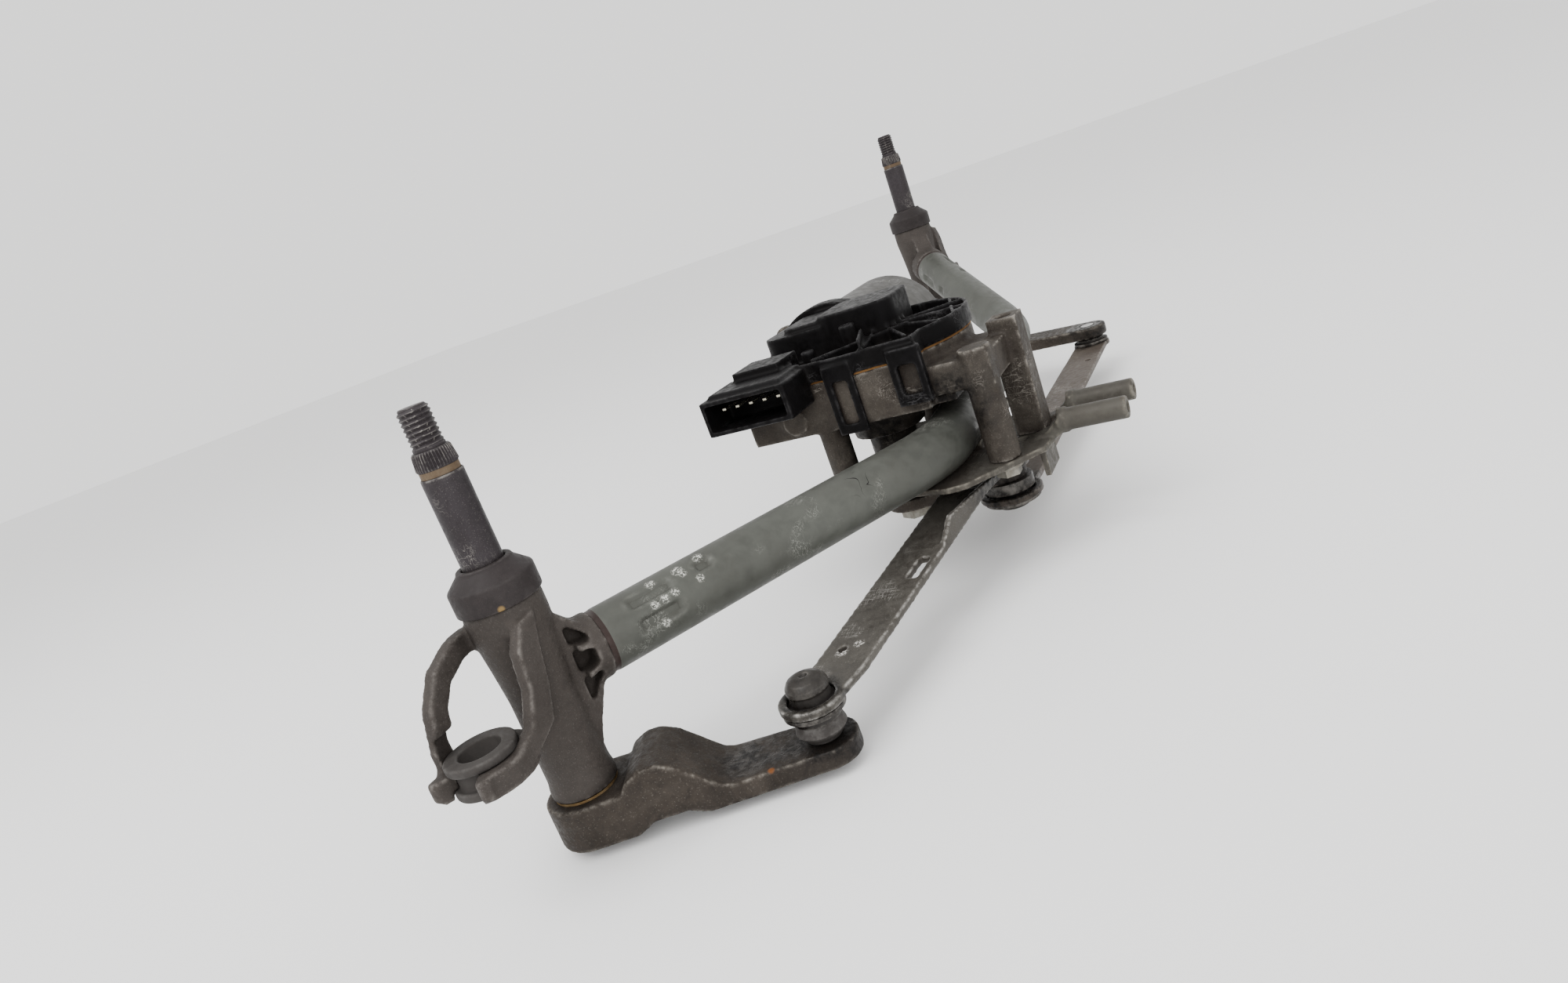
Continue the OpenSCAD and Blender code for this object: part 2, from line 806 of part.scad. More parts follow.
// plastic cover: plate, rim, ribs, hood, connector shroud and clips
module gear_cover() {
    z0 = gz1 + 0.8;
    zr = z0 + 8.2;
    color("black")
        difference() {
            union() {
                translate([0, 0, z0]) linear_extrude(2.5) gear_plan(0.8);
                translate([0, 0, z0])
                    linear_extrude(8.2)
                        difference() {
                            gear_plan(0.8);
                            gear_plan(-0.8);
                        }
                // hood in two heights
                translate([0, 0, z0]) linear_extrude(20) round_box(sx + 3, sy - 14, 35, 36, 9);
                translate([0, 0, z0]) linear_extrude(16) round_box(sx + 3, sy + 14, 35, 36, 9);
                translate([0, 0, z0]) linear_extrude(18.5) round_box(sx + 5, sy + 10, 31, 30, 7);
                // ribs between the rim and the hood
                rib([sx - 33, sy + 23], [sx + 6, sy - 20], zr);
                rib([sx - 33, sy - 12], [sx + 4, sy - 4], zr);
                rib([sx - 33, sy - 12], [sx - 8, sy - 4], zr + 4);
                rib([sx - 30, sy - 31], [sx + 6, sy - 10], zr);
                rib([sx - 12, sy - 40], [sx + 8, sy - 12], zr);
                rib([sx + 10, sy - 43], [sx + 12, sy - 13], zr);
                rib([sx + 26, sy - 38], [sx + 16, sy - 13], zr);
                rib([sx - 2, sy - 42], [sx + 36, sy - 30], zr);
                // hollow post and rivet dome
                translate([sx - 3, sy + 4, z0]) ring(0, 3.6, 0, 15);
                translate([sx - 6, sy + 24, z0]) ring(0, 3, 0, 9);
                // connector shroud and the block behind it
                translate([sx - 56, sy + 14, gz1 - 7]) cube([25, 40, 15]);
                translate([sx - 52, sy + 17, gz1 + 8]) cube([21, 34, 1.6]);
                translate([sx - 36, sy + 24, gz1 + 2]) cube([20, 22, 11]);
                clip_loop(-87, 14, gz1 - 17);
                clip_loop(sy, 13, gz1 - 23);
                // hooks at the right end
                translate([sx + 43.5, sy - 15, z0 - 12]) cube([4.8, 2.4, 20]);
                translate([sx + 43.5, sy - 21, z0 - 12]) cube([4.8, 2.4, 20]);
                translate([sx + 43.5, sy - 21, z0 - 12]) cube([4.8, 8.4, 2.4]);
                // band over the top of the motor flange
                difference() {
                    on_axis(can_x0 - 7) ring(can_r - 1, can_r + 3, 0, 9.6);
                    translate([0, wx - 60, -60]) cube([600, 120, 60 + z0 + 1]);
                }
            }
            // inside of the hood
            translate([0, 0, z0 + 2.5]) linear_extrude(15.7) round_box(sx + 5, sy - 12, 31, 32, 7);
            translate([0, 0, z0 + 2.5]) linear_extrude(11.8) round_box(sx + 5, sy + 16, 31, 32, 7);
            translate([sx + 5, sy - 5, z0 + 2.5]) cube([31, 46, 11.8]);
            translate([sx + 9, sy - 8, z0 - 1]) cube([23, 30, 5]);
            // connector mouth
            translate([sx - 57, sy + 16, gz1 - 5]) cube([20, 36, 11]);
            connector_blades();
            translate([sx - 3, sy + 4, z0 + 9]) ring(0, 2, 0, 8);
            // keep off the housing and the motor
            on_axis(can_x0 - 5.4) ring(0, can_r + 0.4, 0, 30);
            on_axis(can_x0 - 5.4) ears(0, 30);
            translate([0, 0, gz0 - 5]) linear_extrude(gz1 - gz0 + 5.8) gear_plan(0);
            for (p = cover_pts()) translate([p.x, p.y, 0]) ring(0, 1.6, 30, 70);
            for (p = cover_pts()) translate([p.x, p.y, 0]) ring(0, 3.6, z0 + 2.5, 70);
        }
}

// blades in the connector, turned up to the board
module connector_blades() {
    for (i = [0:4])
        translate([sx - 50, sy + 19.6 + i * 6.5, gz1 + 2]) {
            cube([57, 1.6, 0.8]);
            translate([56, 0, 0]) cube([1, 1.6, 4.8]);
        }
}

module connector_pins() {
    color("gold") connector_blades();
}

module cover_screws() {
    z = gz1 + 3.3;
    color("silver")
        for (p = cover_pts())
            translate([p.x, p.y, 0]) {
                ring(0, 1.6, gz1 - 6, z);
                translate([0, 0, z])
                    difference() {
                        cylinder(r = 3.4, h = 2);
                        translate([0, 0, 1]) linear_extrude(2) circle(1.5, $fn = 6);
                    }
            }
}

module circuit_board() {
    color("darkgreen") {
        translate([0, 0, gz1 + 6.8])
            linear_extrude(1.6)
                translate([sx + 5, sy - 5]) square([31, 46]);
        translate([sx + 12, sy - 2, gz1 + 8.4]) cube([14, 10, 2.4]);
        translate([sx + 12, sy + 16, gz1 + 8.4]) cube([16, 14, 5]);
    }
}

// armature parts lie along X at the worm height
module on_axis(x) {
    translate([x, wx, wz]) rotate([0, 90, 0]) children();
}

module armature_shaft() {
    color("silver")
        on_axis(sx - 29)
            rotate_extrude()
                polygon(concat([[0, 0], [2.6, 0], [3, 0.4], [3, 8]], worm_pts(),
                    [[4, 50], [4, can_l + 76], [0, can_l + 76]]));
}

// worm drawn as a row of rounded ridges
function worm_pts() = [for (i = [0:9]) for (p = [[3.2, 8 + i * 4], [4.6, 9 + i * 4],
    [4.6, 10.6 + i * 4], [3.2, 11.6 + i * 4]]) p];

module armature_core() {
    color("gray")
        on_axis(can_x0 + 22)
            difference() {
                ring(4, can_r - 10.5, 0, can_l - 46);
                for (i = [0:9])
                    rotate([0, 0, i * 36])
                        translate([can_r - 14.5, -1.5, -1]) cube([6, 3, can_l]);
                for (i = [0:9])
                    rotate([0, 0, i * 36])
                        translate([can_r - 15.5, 0, -1]) cylinder(r = 3, h = can_l);
            }
}

module armature_windings() {
    color("chocolate")
        on_axis(can_x0 + 22) {
            for (i = [0:9])
                rotate([0, 0, i * 36])
                    translate([can_r - 15.5, 0, -5]) cylinder(r = 2.7, h = can_l - 36);
            ring(4, can_r - 13, -6, 0);
            ring(4, can_r - 13, can_l - 46, can_l - 40);
        }
}

module commutator() {
    color("peru")
        on_axis(can_x0 + 4)
            difference() {
                ring(4, 9, 0, 12);
                for (i = [0:11])
                    rotate([0, 0, i * 30])
                        translate([8, -0.3, -1]) cube([2, 0.6, 12]);
            }
}

// deep-drawn can with a flange, two ears and a tail bearing
module motor_can() {
    color("silver")
        on_axis(can_x0)
            difference() {
                union() {
                    ring(0, can_r, 0, 2.5);
                    ears(0, 2.5);
                    ring(0, can_r - 1, 0, can_l - 3);
                    ring(0, can_r - 2.2, 0, can_l);
                    ring(0, 8, can_l - 10, can_l + 5);
                }
                ring(0, can_r - 3, -1, can_l - 5);
                ring(0, 4 + fit, 0, can_l + 4);
                ear_holes(2, 8);
            }
}

module field_magnets() {
    color("dimgray")
        on_axis(can_x0 + 18)
            difference() {
                ring(can_r - 9, can_r - 3, 0, can_l - 34);
                for (a = [0, 180])
                    rotate([0, 0, a + 90])
                        translate([0, -7, -1]) cube([can_r, 14, can_l]);
            }
}

module brush_plate() {
    color("tan")
        on_axis(can_x0)
            difference() {
                union() {
                    ring(10.5, can_r - 3, 2.5, 5);
                    for (a = [0, 180])
                        rotate([0, 0, a])
                            translate([10.5, -4, 5]) cube([12, 8, 8]);
                }
                for (a = [0, 180])
                    rotate([0, 0, a])
                        translate([9, -2.5, 6.5]) cube([12.5, 5, 5]);
            }
}

module brushes() {
    color("black")
        on_axis(can_x0)
            for (a = [0, 180])
                rotate([0, 0, a])
                    translate([9.4, -2.5, 6.5]) cube([9, 5, 5]);
}

module can_screws() {
    color("silver")
        on_axis(can_x0 - 5)
            for (a = [135, 315])
                rotate([0, 0, a])
                    translate([can_r + 2.5, 0, 0]) {
                        cylinder(r = 2, h = 7.5);
                        translate([0, 0, 7.5]) linear_extrude(2.5) circle(3.6, $fn = 6);
                    }
}

// plate with welds under the tube and two rolled locating pegs
module motor_bracket() {
    px = sx - 9;
    color("silver")
        difference() {
            union() {
                translate([0, 0, pz - 2.5])
                    linear_extrude(2.5)
                        polygon([[sx - 52, -94], [sx - 50, -101], [sx - 23, -127], [sx + 20, -133],
                            [sx + 27, -106], [sx + 54, -72], [sx + 54, -48], [sx - 18, -32],
                            [sx - 38, -38]]);
                // weld beads along the tube
                difference() {
                    translate([sx - 10, -98, pz - 0.2]) cube([62, 16, 3.4]);
                    run(b1, b2, tr);
                }
                // lip turned down
                translate([sx - 22, -126, -14]) cube([19, 2.5, 12]);
                // rolled ends
                for (x = [px, px + 23]) {
                    translate([x, 0, 0])
                        rotate([90, 0, 90])
                            linear_extrude(9, center = true)
                                polygon([[-122, pz - 2.5], [-118, pz], [-126, 1], [-133, 7],
                                    [-133, 0], [-130, -2]]);
                    along([x, -131, 3.5], [0, -1, 0]) cylinder(r = 5.2, h = 3.5);
                    along([x, -132, 3.5], [0, -1, 0]) cylinder(r = 4.5, h = 26);
                }
            }
            for (x = [px, px + 23])
                along([x, -140, 3.5], [0, -1, 0]) cylinder(r = 2.2, h = 20);
            translate([sx, sy, 0]) ring(0, 17, -6, 0);
            for (x = [px + 1, px + 22])
                translate([x, -114.5, 0]) ring(0, 2.6, -6, 0);
            for (p = [[sx - 28, -112], [sx - 27, sy + 14], [sx + 37, sy - 8]])
                translate([p.x, p.y, 0]) ring(0, 3, -6, 0);
        }
}

module bracket_screws() {
    color("silver")
        for (p = [[sx - 28, -112], [sx - 27, sy + 14], [sx + 37, sy - 8]])
            translate([p.x, p.y, 0]) {
                ring(0, 3, pz - 3, 10);
                translate([0, 0, pz - 6.8]) linear_extrude(3.3) circle(5.2, $fn = 6);
                ring(0, 6.4, pz - 3.5, pz - 2.5);
            }
}

frame_tube();
near_pivot_housing();
far_pivot_housing();
near_grommet();
far_grommet();
near_dust_cap();
far_dust_cap();
near_upper_bush();
near_lower_bush();
far_upper_bush();
far_lower_bush();
near_shaft_seal();
far_shaft_seal();
motor_bracket();
bracket_screws();
gear_housing();
cover_gasket();
gear_cover();
connector_pins();
cover_screws();
output_bush();
circuit_board();
front_bearing();
rear_bearing();
motor_can();
field_magnets();
brush_plate();
brushes();
can_screws();
near_shaft();
near_crank_lever();
near_ball_stud();
near_thrust_washer();
near_circlip();
far_shaft();
far_crank_lever();
far_ball_stud();
far_thrust_washer();
far_circlip();
worm_wheel();
output_shaft();
motor_crank_arm();
crank_nut();
crank_ball_stud();
near_rod_spool();
far_rod_spool();
park_magnet();
near_rod_bar();
near_rod_socket();
near_rod_boot();
far_rod_bar();
far_rod_socket();
far_rod_boot();
armature_shaft();
armature_core();
commutator();
armature_windings();
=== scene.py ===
"""Windshield wiper linkage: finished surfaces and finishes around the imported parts.

Lengths in the tables and outlines are millimetres in the frame of the part, and add_object turns them
into metres. Sizes in the shader groups, the lights and the camera are metres. Noise scales are cycles
per metre.
"""

import json
import math

import bmesh
import bpy
import numpy as np
from mathutils import Matrix, Vector


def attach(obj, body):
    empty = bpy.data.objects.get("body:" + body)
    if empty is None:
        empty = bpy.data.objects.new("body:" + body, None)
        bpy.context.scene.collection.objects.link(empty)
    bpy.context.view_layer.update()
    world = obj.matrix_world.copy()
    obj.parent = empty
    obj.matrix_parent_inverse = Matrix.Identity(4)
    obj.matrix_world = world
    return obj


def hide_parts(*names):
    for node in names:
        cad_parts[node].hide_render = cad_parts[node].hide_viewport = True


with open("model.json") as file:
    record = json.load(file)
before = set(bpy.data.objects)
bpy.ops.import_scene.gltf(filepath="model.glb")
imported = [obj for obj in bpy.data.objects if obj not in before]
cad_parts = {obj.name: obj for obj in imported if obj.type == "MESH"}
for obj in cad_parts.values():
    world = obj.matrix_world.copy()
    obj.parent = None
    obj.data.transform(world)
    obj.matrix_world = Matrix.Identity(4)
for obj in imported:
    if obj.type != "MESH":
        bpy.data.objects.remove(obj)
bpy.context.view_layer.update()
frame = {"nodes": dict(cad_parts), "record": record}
MM = 0.001

# ---------------------------------------------------------------- layout of the linkage
UP = np.array([0.0, 0.0, 1.0])
NEAR = np.array([30.0, 0.0, 0.0])              # foot of each wiper pivot's axis
FAR = np.array([492.0, 0.0, 37.0])
NEAR_GROMMET = np.array([0.0, 0.0, 0.0])
FAR_GROMMET = np.array([522.0, 0.0, 37.0])
NEAR_BALL = np.array([64.0, -70.0, -27.0])     # ball joint between each crank and its rod
FAR_BALL = np.array([474.0, -99.0, -29.0])
PIN = np.array([229.0, -98.0, 0.0])            # pin of the motor crank that both rods share
CORNERS = np.array([[30.0, 0.0, 10.0], [182.6, -91.7, 10.0], [380.0, -78.0, 10.0], [492.0, 0.0, 53.3]])
TUBE_RUNS = np.diff(CORNERS, axis=0)
TUBE_DIRS = TUBE_RUNS / np.linalg.norm(TUBE_RUNS, axis=1, keepdims=True)
TUBE_R, TUBE_IN, BEND_R = 11.0, 9.5, 60.0
TUBE_GAP = 22.0                                # bare length left between a pivot axis and the tube end
TURNED_OVER = np.diag([1.0, -1.0, -1.0])       # half turn about the x axis
SHARP = 38                                     # edges steeper than this many degrees stay sharp
CAST_SHARP = 60


# ---------------------------------------------------------------- mesh making
def new_object(name, data):
    """New object at the origin, linked into the scene."""
    obj = bpy.data.objects.new(name, data)
    bpy.context.scene.collection.objects.link(obj)
    return obj


def shade(obj, degrees):
    """Smooth shading that stays sharp over edges steeper than the given angle."""
    obj.data.shade_smooth()
    obj.data.set_sharp_from_angle(angle=math.radians(degrees))


def add_object(name, verts, faces):
    """Closed piece from a vertex array (mm) and a face list: doubles merged, every face outwards."""
    mesh = bpy.data.meshes.new(name)
    mesh.from_pydata((np.asarray(verts) * MM).tolist(), [], faces)
    mesh.update()
    obj = new_object(name, mesh)
    join_doubles(mesh, 1e-6, outwards=True)
    shade(obj, SHARP)
    return obj


def join_doubles(mesh, reach, outwards=False):
    """Merges vertices closer than `reach` metres, and turns the faces outwards when asked."""
    bm = bmesh.new()
    bm.from_mesh(mesh)
    bmesh.ops.remove_doubles(bm, verts=bm.verts, dist=reach)
    if outwards:
        bmesh.ops.recalc_face_normals(bm, faces=bm.faces)
    bm.to_mesh(mesh)
    bm.free()


def ring_faces(rows, cols, wrap_rows):
    """Quads between rows of a grid whose columns close on themselves; rows close too when asked.

    Vertex (i, j) has the number i * cols + j, and each quad joins (i, j), (i, j+1), (i+1, j+1), (i+1, j).
    """
    i = np.arange(rows if wrap_rows else rows - 1)[:, None]
    j = np.arange(cols)[None, :]
    a = i * cols + j
    b = i * cols + (j + 1) % cols
    c = ((i + 1) % rows) * cols + (j + 1) % cols
    d = ((i + 1) % rows) * cols + j
    return np.stack([a, b, c, d], -1).reshape(-1, 4).tolist()


def full_turn(cols):
    """Angles of `cols` even steps round a circle, in radians."""
    return np.arange(cols) / cols * 2 * np.pi


def lathe(name, radii, heights, place):
    """Turned bar: radius is an array (rows, angles), height an array (rows).

    Point = place + (r cos t, r sin t, h). The first and the last row are each closed by a flat disc.
    """
    rows, cols = radii.shape
    t = full_turn(cols)
    pts = np.stack([radii * np.cos(t), radii * np.sin(t), np.repeat(heights[:, None], cols, 1)], -1)
    discs = [list(range(cols))[::-1], [(rows - 1) * cols + k for k in range(cols)]]
    return add_object(name, pts.reshape(-1, 3) + place, ring_faces(rows, cols, False) + discs)


def lathe_ring(name, profile, place, cols=96, turn=np.eye(3)):
    """Turned ring: point = place + turn @ (r cos t, r sin t, z) over a closed profile of (r, z)."""
    t = full_turn(cols)
    r = np.repeat(profile[:, :1], cols, 1)
    z = np.repeat(profile[:, 1:], cols, 1)
    pts = np.stack([r * np.cos(t), r * np.sin(t), z], -1).reshape(-1, 3)
    return add_object(name, pts @ turn.T + place, ring_faces(len(profile), cols, True))


def round_profile(points, radius, steps=4):
    """Closed outline with each corner P replaced by the curve (1-s)^2 A + 2s(1-s) P + s^2 B.

    A and B lie `radius` before and after the corner, or 0.45 of a side that is short.
    """
    pts = np.asarray(points, float)
    before = np.roll(pts, 1, 0) - pts
    after = np.roll(pts, -1, 0) - pts
    length_before = np.linalg.norm(before, axis=1, keepdims=True)
    length_after = np.linalg.norm(after, axis=1, keepdims=True)
    a = pts + before / length_before * np.minimum(radius, length_before * 0.45)
    b = pts + after / length_after * np.minimum(radius, length_after * 0.45)
    s = np.linspace(0, 1, steps)[None, :, None]
    curve = (1 - s) ** 2 * a[:, None] + 2 * s * (1 - s) * pts[:, None] + s ** 2 * b[:, None]
    return curve.reshape(-1, 2)


def merged_copy(name, node):
    """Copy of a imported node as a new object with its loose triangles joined."""
    src = frame["nodes"][node]
    mesh = src.data.copy()
    mesh.transform(src.matrix_world)
    mesh.materials.clear()
    join_doubles(mesh, 2e-6)
    return new_object(name, mesh)


def apply_modifiers(obj):
    """Writes the result of the object's modifiers into its mesh."""
    graph = bpy.context.evaluated_depsgraph_get()
    mesh = bpy.data.meshes.new_from_object(obj.evaluated_get(graph))
    obj.modifiers.clear()
    old, obj.data = obj.data, mesh
    mesh.name = obj.name
    bpy.data.meshes.remove(old)


def pocket_cutters(start, towards):
    """Six prisms that open three pockets on both sides of the web between a pivot and its tube.

    Corner = start + a along + reach across + w up, for each (a, w) of an outline. The reach runs from
    half the thickness of the web that is left, out past the side of the casting.
    """
    half_web, past_side = 1.6, 16.0
    outlines = [[(11.9, 12.2), (11.9, 5.6), (17.6, 5.2), (17.6, 7.4)],
                [(11.9, 3.6), (11.9, -4.4), (17.6, -2.4), (17.6, 3.2)],
                [(11.9, -6.4), (11.9, -15.0), (17.6, -7.4), (17.6, -4.4)]]
    along = towards / np.hypot(towards[0], towards[1])
    across = np.cross(along, UP)
    verts, faces = [], []
    for outline in outlines:
        for side in (-1, 1):
            k = len(verts)
            for reach in (half_web * side, past_side * side):
                verts += [start + a * along + reach * across + w * UP for a, w in outline]
            faces += [[k, k + 1, k + 2, k + 3], [k + 7, k + 6, k + 5, k + 4]]
            faces += [[k + j, k + 4 + j, k + 4 + (j + 1) % 4, k + (j + 1) % 4] for j in range(4)]
    return add_object("web_cutter", verts, faces)


def cast(name, node, voxel, passes, amount=0.6, cutter=None):
    """Casting, forging or pressing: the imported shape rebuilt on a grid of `voxel` mm, then relaxed.

    Every corner gets a fillet of about the voxel size, as a mould or a die leaves it. Each relaxing
    pass moves a vertex `amount` of the way to the mean of its neighbours.
    """
    obj = merged_copy(name, node)
    if cutter is not None:
        cut = obj.modifiers.new("pockets", "BOOLEAN")
        cut.operation = "DIFFERENCE"
        cut.solver = "EXACT"
        cut.object = cutter
    rem = obj.modifiers.new("grid", "REMESH")
    rem.mode = "VOXEL"
    rem.voxel_size = voxel * MM
    rem.adaptivity = 0.0
    soft = obj.modifiers.new("relax", "SMOOTH")
    soft.factor = amount
    soft.iterations = passes
    apply_modifiers(obj)
    if cutter is not None:
        bpy.data.objects.remove(cutter, do_unlink=True)
    shade(obj, CAST_SHARP)
    return obj


# ---------------------------------------------------------------- shader node helpers
MIX_FACTOR, MIX_A, MIX_B, MIX_RESULT = 0, 6, 7, 2      # colour sockets of the Mix node, by number


class Tree:
    """Short way of writing a node tree: add nodes, then set numbers on their sockets or join them."""

    def __init__(self, tree):
        self.tree = tree
        self.count = 0

    def node(self, kind, values=None, **props):
        n = self.tree.nodes.new(kind)
        n.location = (220 * (self.count % 9), -260 * (self.count // 9))
        self.count += 1
        for key, value in props.items():
            setattr(n, key, value)
        for key, value in (values or {}).items():
            self.feed(n.inputs[key], value)
        return n

    def feed(self, socket, value):
        """Joins a socket to the value when that is a socket too, and sets it to the number if not."""
        if isinstance(value, bpy.types.NodeSocket):
            self.tree.links.new(value, socket)
        else:
            socket.default_value = value

    def position(self):
        """Object coordinates, which are the frame's own as every piece sits at the origin."""
        return self.node("ShaderNodeTexCoord").outputs["Object"]

    def math(self, op, a, b=0.0, clamp=False):
        return self.node("ShaderNodeMath", {0: a, 1: b}, operation=op, use_clamp=clamp).outputs[0]

    def times(self, a, b, clamp=False):
        return self.math("MULTIPLY", a, b, clamp)

    def mix(self, fac, a, b):
        """Colour a where fac is 0 and colour b where it is 1."""
        n = self.node("ShaderNodeMix", {MIX_FACTOR: fac, MIX_A: a, MIX_B: b}, data_type="RGBA",
                      clamp_factor=True)
        return n.outputs[MIX_RESULT]

    def ramp(self, value, low, high):
        """Soft step from 0 at low to 1 at high."""
        n = self.node("ShaderNodeMapRange", {"Value": value, "From Min": low, "From Max": high},
                      clamp=True, interpolation_type="SMOOTHSTEP")
        return n.outputs[0]

    def noise(self, vector, scale, detail=4.0, rough=0.55, distort=0.0):
        n = self.node("ShaderNodeTexNoise", {"Vector": vector, "Scale": scale, "Detail": detail,
                                             "Roughness": rough, "Distortion": distort})
        return n.outputs["Fac"]


def rgba(c):
    """Opaque colour from three numbers."""
    return (c[0], c[1], c[2], 1.0)


def lighter(c, times):
    """Colour made brighter, with no channel above 1."""
    return [min(1.0, v * times) for v in c]


def new_group(name, inputs, outputs):
    """Empty node group with float inputs (name, default) and float outputs (name)."""
    tree = bpy.data.node_groups.new(name, "ShaderNodeTree")
    for label, value in inputs:
        socket = tree.interface.new_socket(name=label, in_out="INPUT", socket_type="NodeSocketFloat")
        socket.default_value = value
    for label in outputs:
        tree.interface.new_socket(name=label, in_out="OUTPUT", socket_type="NodeSocketFloat")
    t = Tree(tree)
    return t, t.node("NodeGroupInput"), t.node("NodeGroupOutput")


def make_grain_group():
    """Surface grain: fine pits, middle lumps and large soft patches, all from object coordinates."""
    t, gin, gout = new_group("surface_grain", [("Fine", 1800.0), ("Middle", 350.0), ("Large", 28.0)],
                             ["Pits", "Lumps", "Patches"])
    pos = t.position()
    t.feed(gout.inputs["Pits"], t.noise(pos, gin.outputs["Fine"], 3.0, 0.65))
    t.feed(gout.inputs["Lumps"], t.noise(pos, gin.outputs["Middle"], 5.0, 0.6, 0.3))
    t.feed(gout.inputs["Patches"], t.noise(pos, gin.outputs["Large"], 4.0, 0.6, 0.5))
    return t.tree


def make_edge_group():
    """Edge wear on the outer corners of the mesh, broken up by a scratchy noise, and a mask of its inner
    corners, which the finishes use for painted shade in the hollows.

    Pointiness is 0.5 on a flat face, more on an outer corner and less in an inner one.
    """
    t, gin, gout = new_group("edge_wear_and_hollow_shade", [("Amount", 1.0), ("Breakup", 260.0)], ["Edge", "Hollow"])
    point = t.node("ShaderNodeNewGeometry").outputs["Pointiness"]
    broken = t.ramp(t.noise(t.position(), gin.outputs["Breakup"], 6.0, 0.7), 0.38, 0.66)
    edge = t.times(t.ramp(point, 0.505, 0.56), broken)
    t.feed(gout.inputs["Edge"], t.times(edge, gin.outputs["Amount"], True))
    t.feed(gout.inputs["Hollow"], t.ramp(point, 0.495, 0.44))
    return t.tree


def make_grime_and_shade_group():
    """Mask of painted shade in corners and under ledges, where the ambient occlusion finds the surface
    shut in, added to grimy patches from a cloudy noise.
    """
    t, gin, gout = new_group("grime_and_shade", [("Amount", 0.6), ("Reach", 0.008), ("Cloud", 60.0)], ["Mask"])
    occ = t.node("ShaderNodeAmbientOcclusion", {"Distance": gin.outputs["Reach"]}, samples=6)
    # Painted shade: the mask rises where the ambient occlusion is low, in corners and under ledges.
    corners = t.ramp(occ.outputs["AO"], 0.92, 0.35)
    cloud = t.ramp(t.noise(t.position(), gin.outputs["Cloud"], 5.0, 0.62), 0.35, 0.75)
    both = t.math("ADD", t.times(corners, 0.8), t.times(cloud, 0.45))
    t.feed(gout.inputs["Mask"], t.times(both, gin.outputs["Amount"], True))
    return t.tree


def make_scratch_group():
    """Scratches: thin stretched streaks in two crossing directions.

    A streak is where a noise squeezed along two axes comes within Width of its middle value, kept only
    inside the patches of a second noise.
    """
    t, gin, gout = new_group("scratches", [("Scale", 60.0), ("Width", 0.03)], ["Mask"])
    pos = t.position()
    lines = []
    for turn, squeeze in (((0.2, 0.4, 0.6), (1.0, 16.0, 7.0)), ((1.1, -0.3, 2.2), (14.0, 1.0, 5.0))):
        warp = t.node("ShaderNodeMapping", {"Vector": pos, "Rotation": turn, "Scale": squeeze})
        n = t.noise(warp.outputs[0], gin.outputs["Scale"], 3.0, 0.5)
        line = t.math("LESS_THAN", t.math("ABSOLUTE", t.math("SUBTRACT", n, 0.5)), gin.outputs["Width"])
        patch = t.ramp(t.noise(pos, t.times(gin.outputs["Scale"], 0.8), 2.0), 0.56, 0.66)
        lines.append(t.times(line, patch))
    t.feed(gout.inputs["Mask"], t.math("MAXIMUM", *lines))
    return t.tree


def make_near_group():
    """Cloudy ball round a point: 1 at the middle, 0 beyond the outer radius, ragged in between."""
    t, gin, gout = new_group("near_point", [("X", 0.0), ("Y", 0.0), ("Z", 0.0), ("Inner", 0.01),
                                            ("Outer", 0.02), ("Ragged", 0.5), ("Scale", 120.0)], ["Mask"])
    pos = t.position()
    point = t.node("ShaderNodeCombineXYZ", {k: gin.outputs[k] for k in ("X", "Y", "Z")})
    far = t.node("ShaderNodeVectorMath", {0: pos, 1: point.outputs[0]}, operation="DISTANCE")
    n = t.math("SUBTRACT", t.noise(pos, gin.outputs["Scale"], 5.0, 0.65, 0.4), 0.5)
    push = t.times(t.times(n, gin.outputs["Ragged"]), gin.outputs["Outer"])
    reach = t.math("ADD", far.outputs["Value"], t.times(push, 3.0))
    t.feed(gout.inputs["Mask"], t.ramp(reach, gin.outputs["Outer"], gin.outputs["Inner"]))
    return t.tree


GRAIN, EDGE = make_grain_group(), make_edge_group()
GRIME_AND_SHADE, SCRATCH = make_grime_and_shade_group(), make_scratch_group()
NEAR_POINT = make_near_group()


def near_mask(t, point, inner, outer, ragged, scale):
    """Mask output of the near_point group; point and radii in millimetres."""
    values = dict(X=point[0] * MM, Y=point[1] * MM, Z=point[2] * MM, Inner=inner * MM, Outer=outer * MM,
                  Ragged=ragged, Scale=scale)
    return t.node("ShaderNodeGroup", values, node_tree=NEAR_POINT).outputs[0]


INK = (0.006, 0.005, 0.005)
# Near-black of the greasy patches; round the motor crank pin, under the bracket, it is painted shade.
GREASE_AND_SHADE = (0.0045, 0.0035, 0.003)


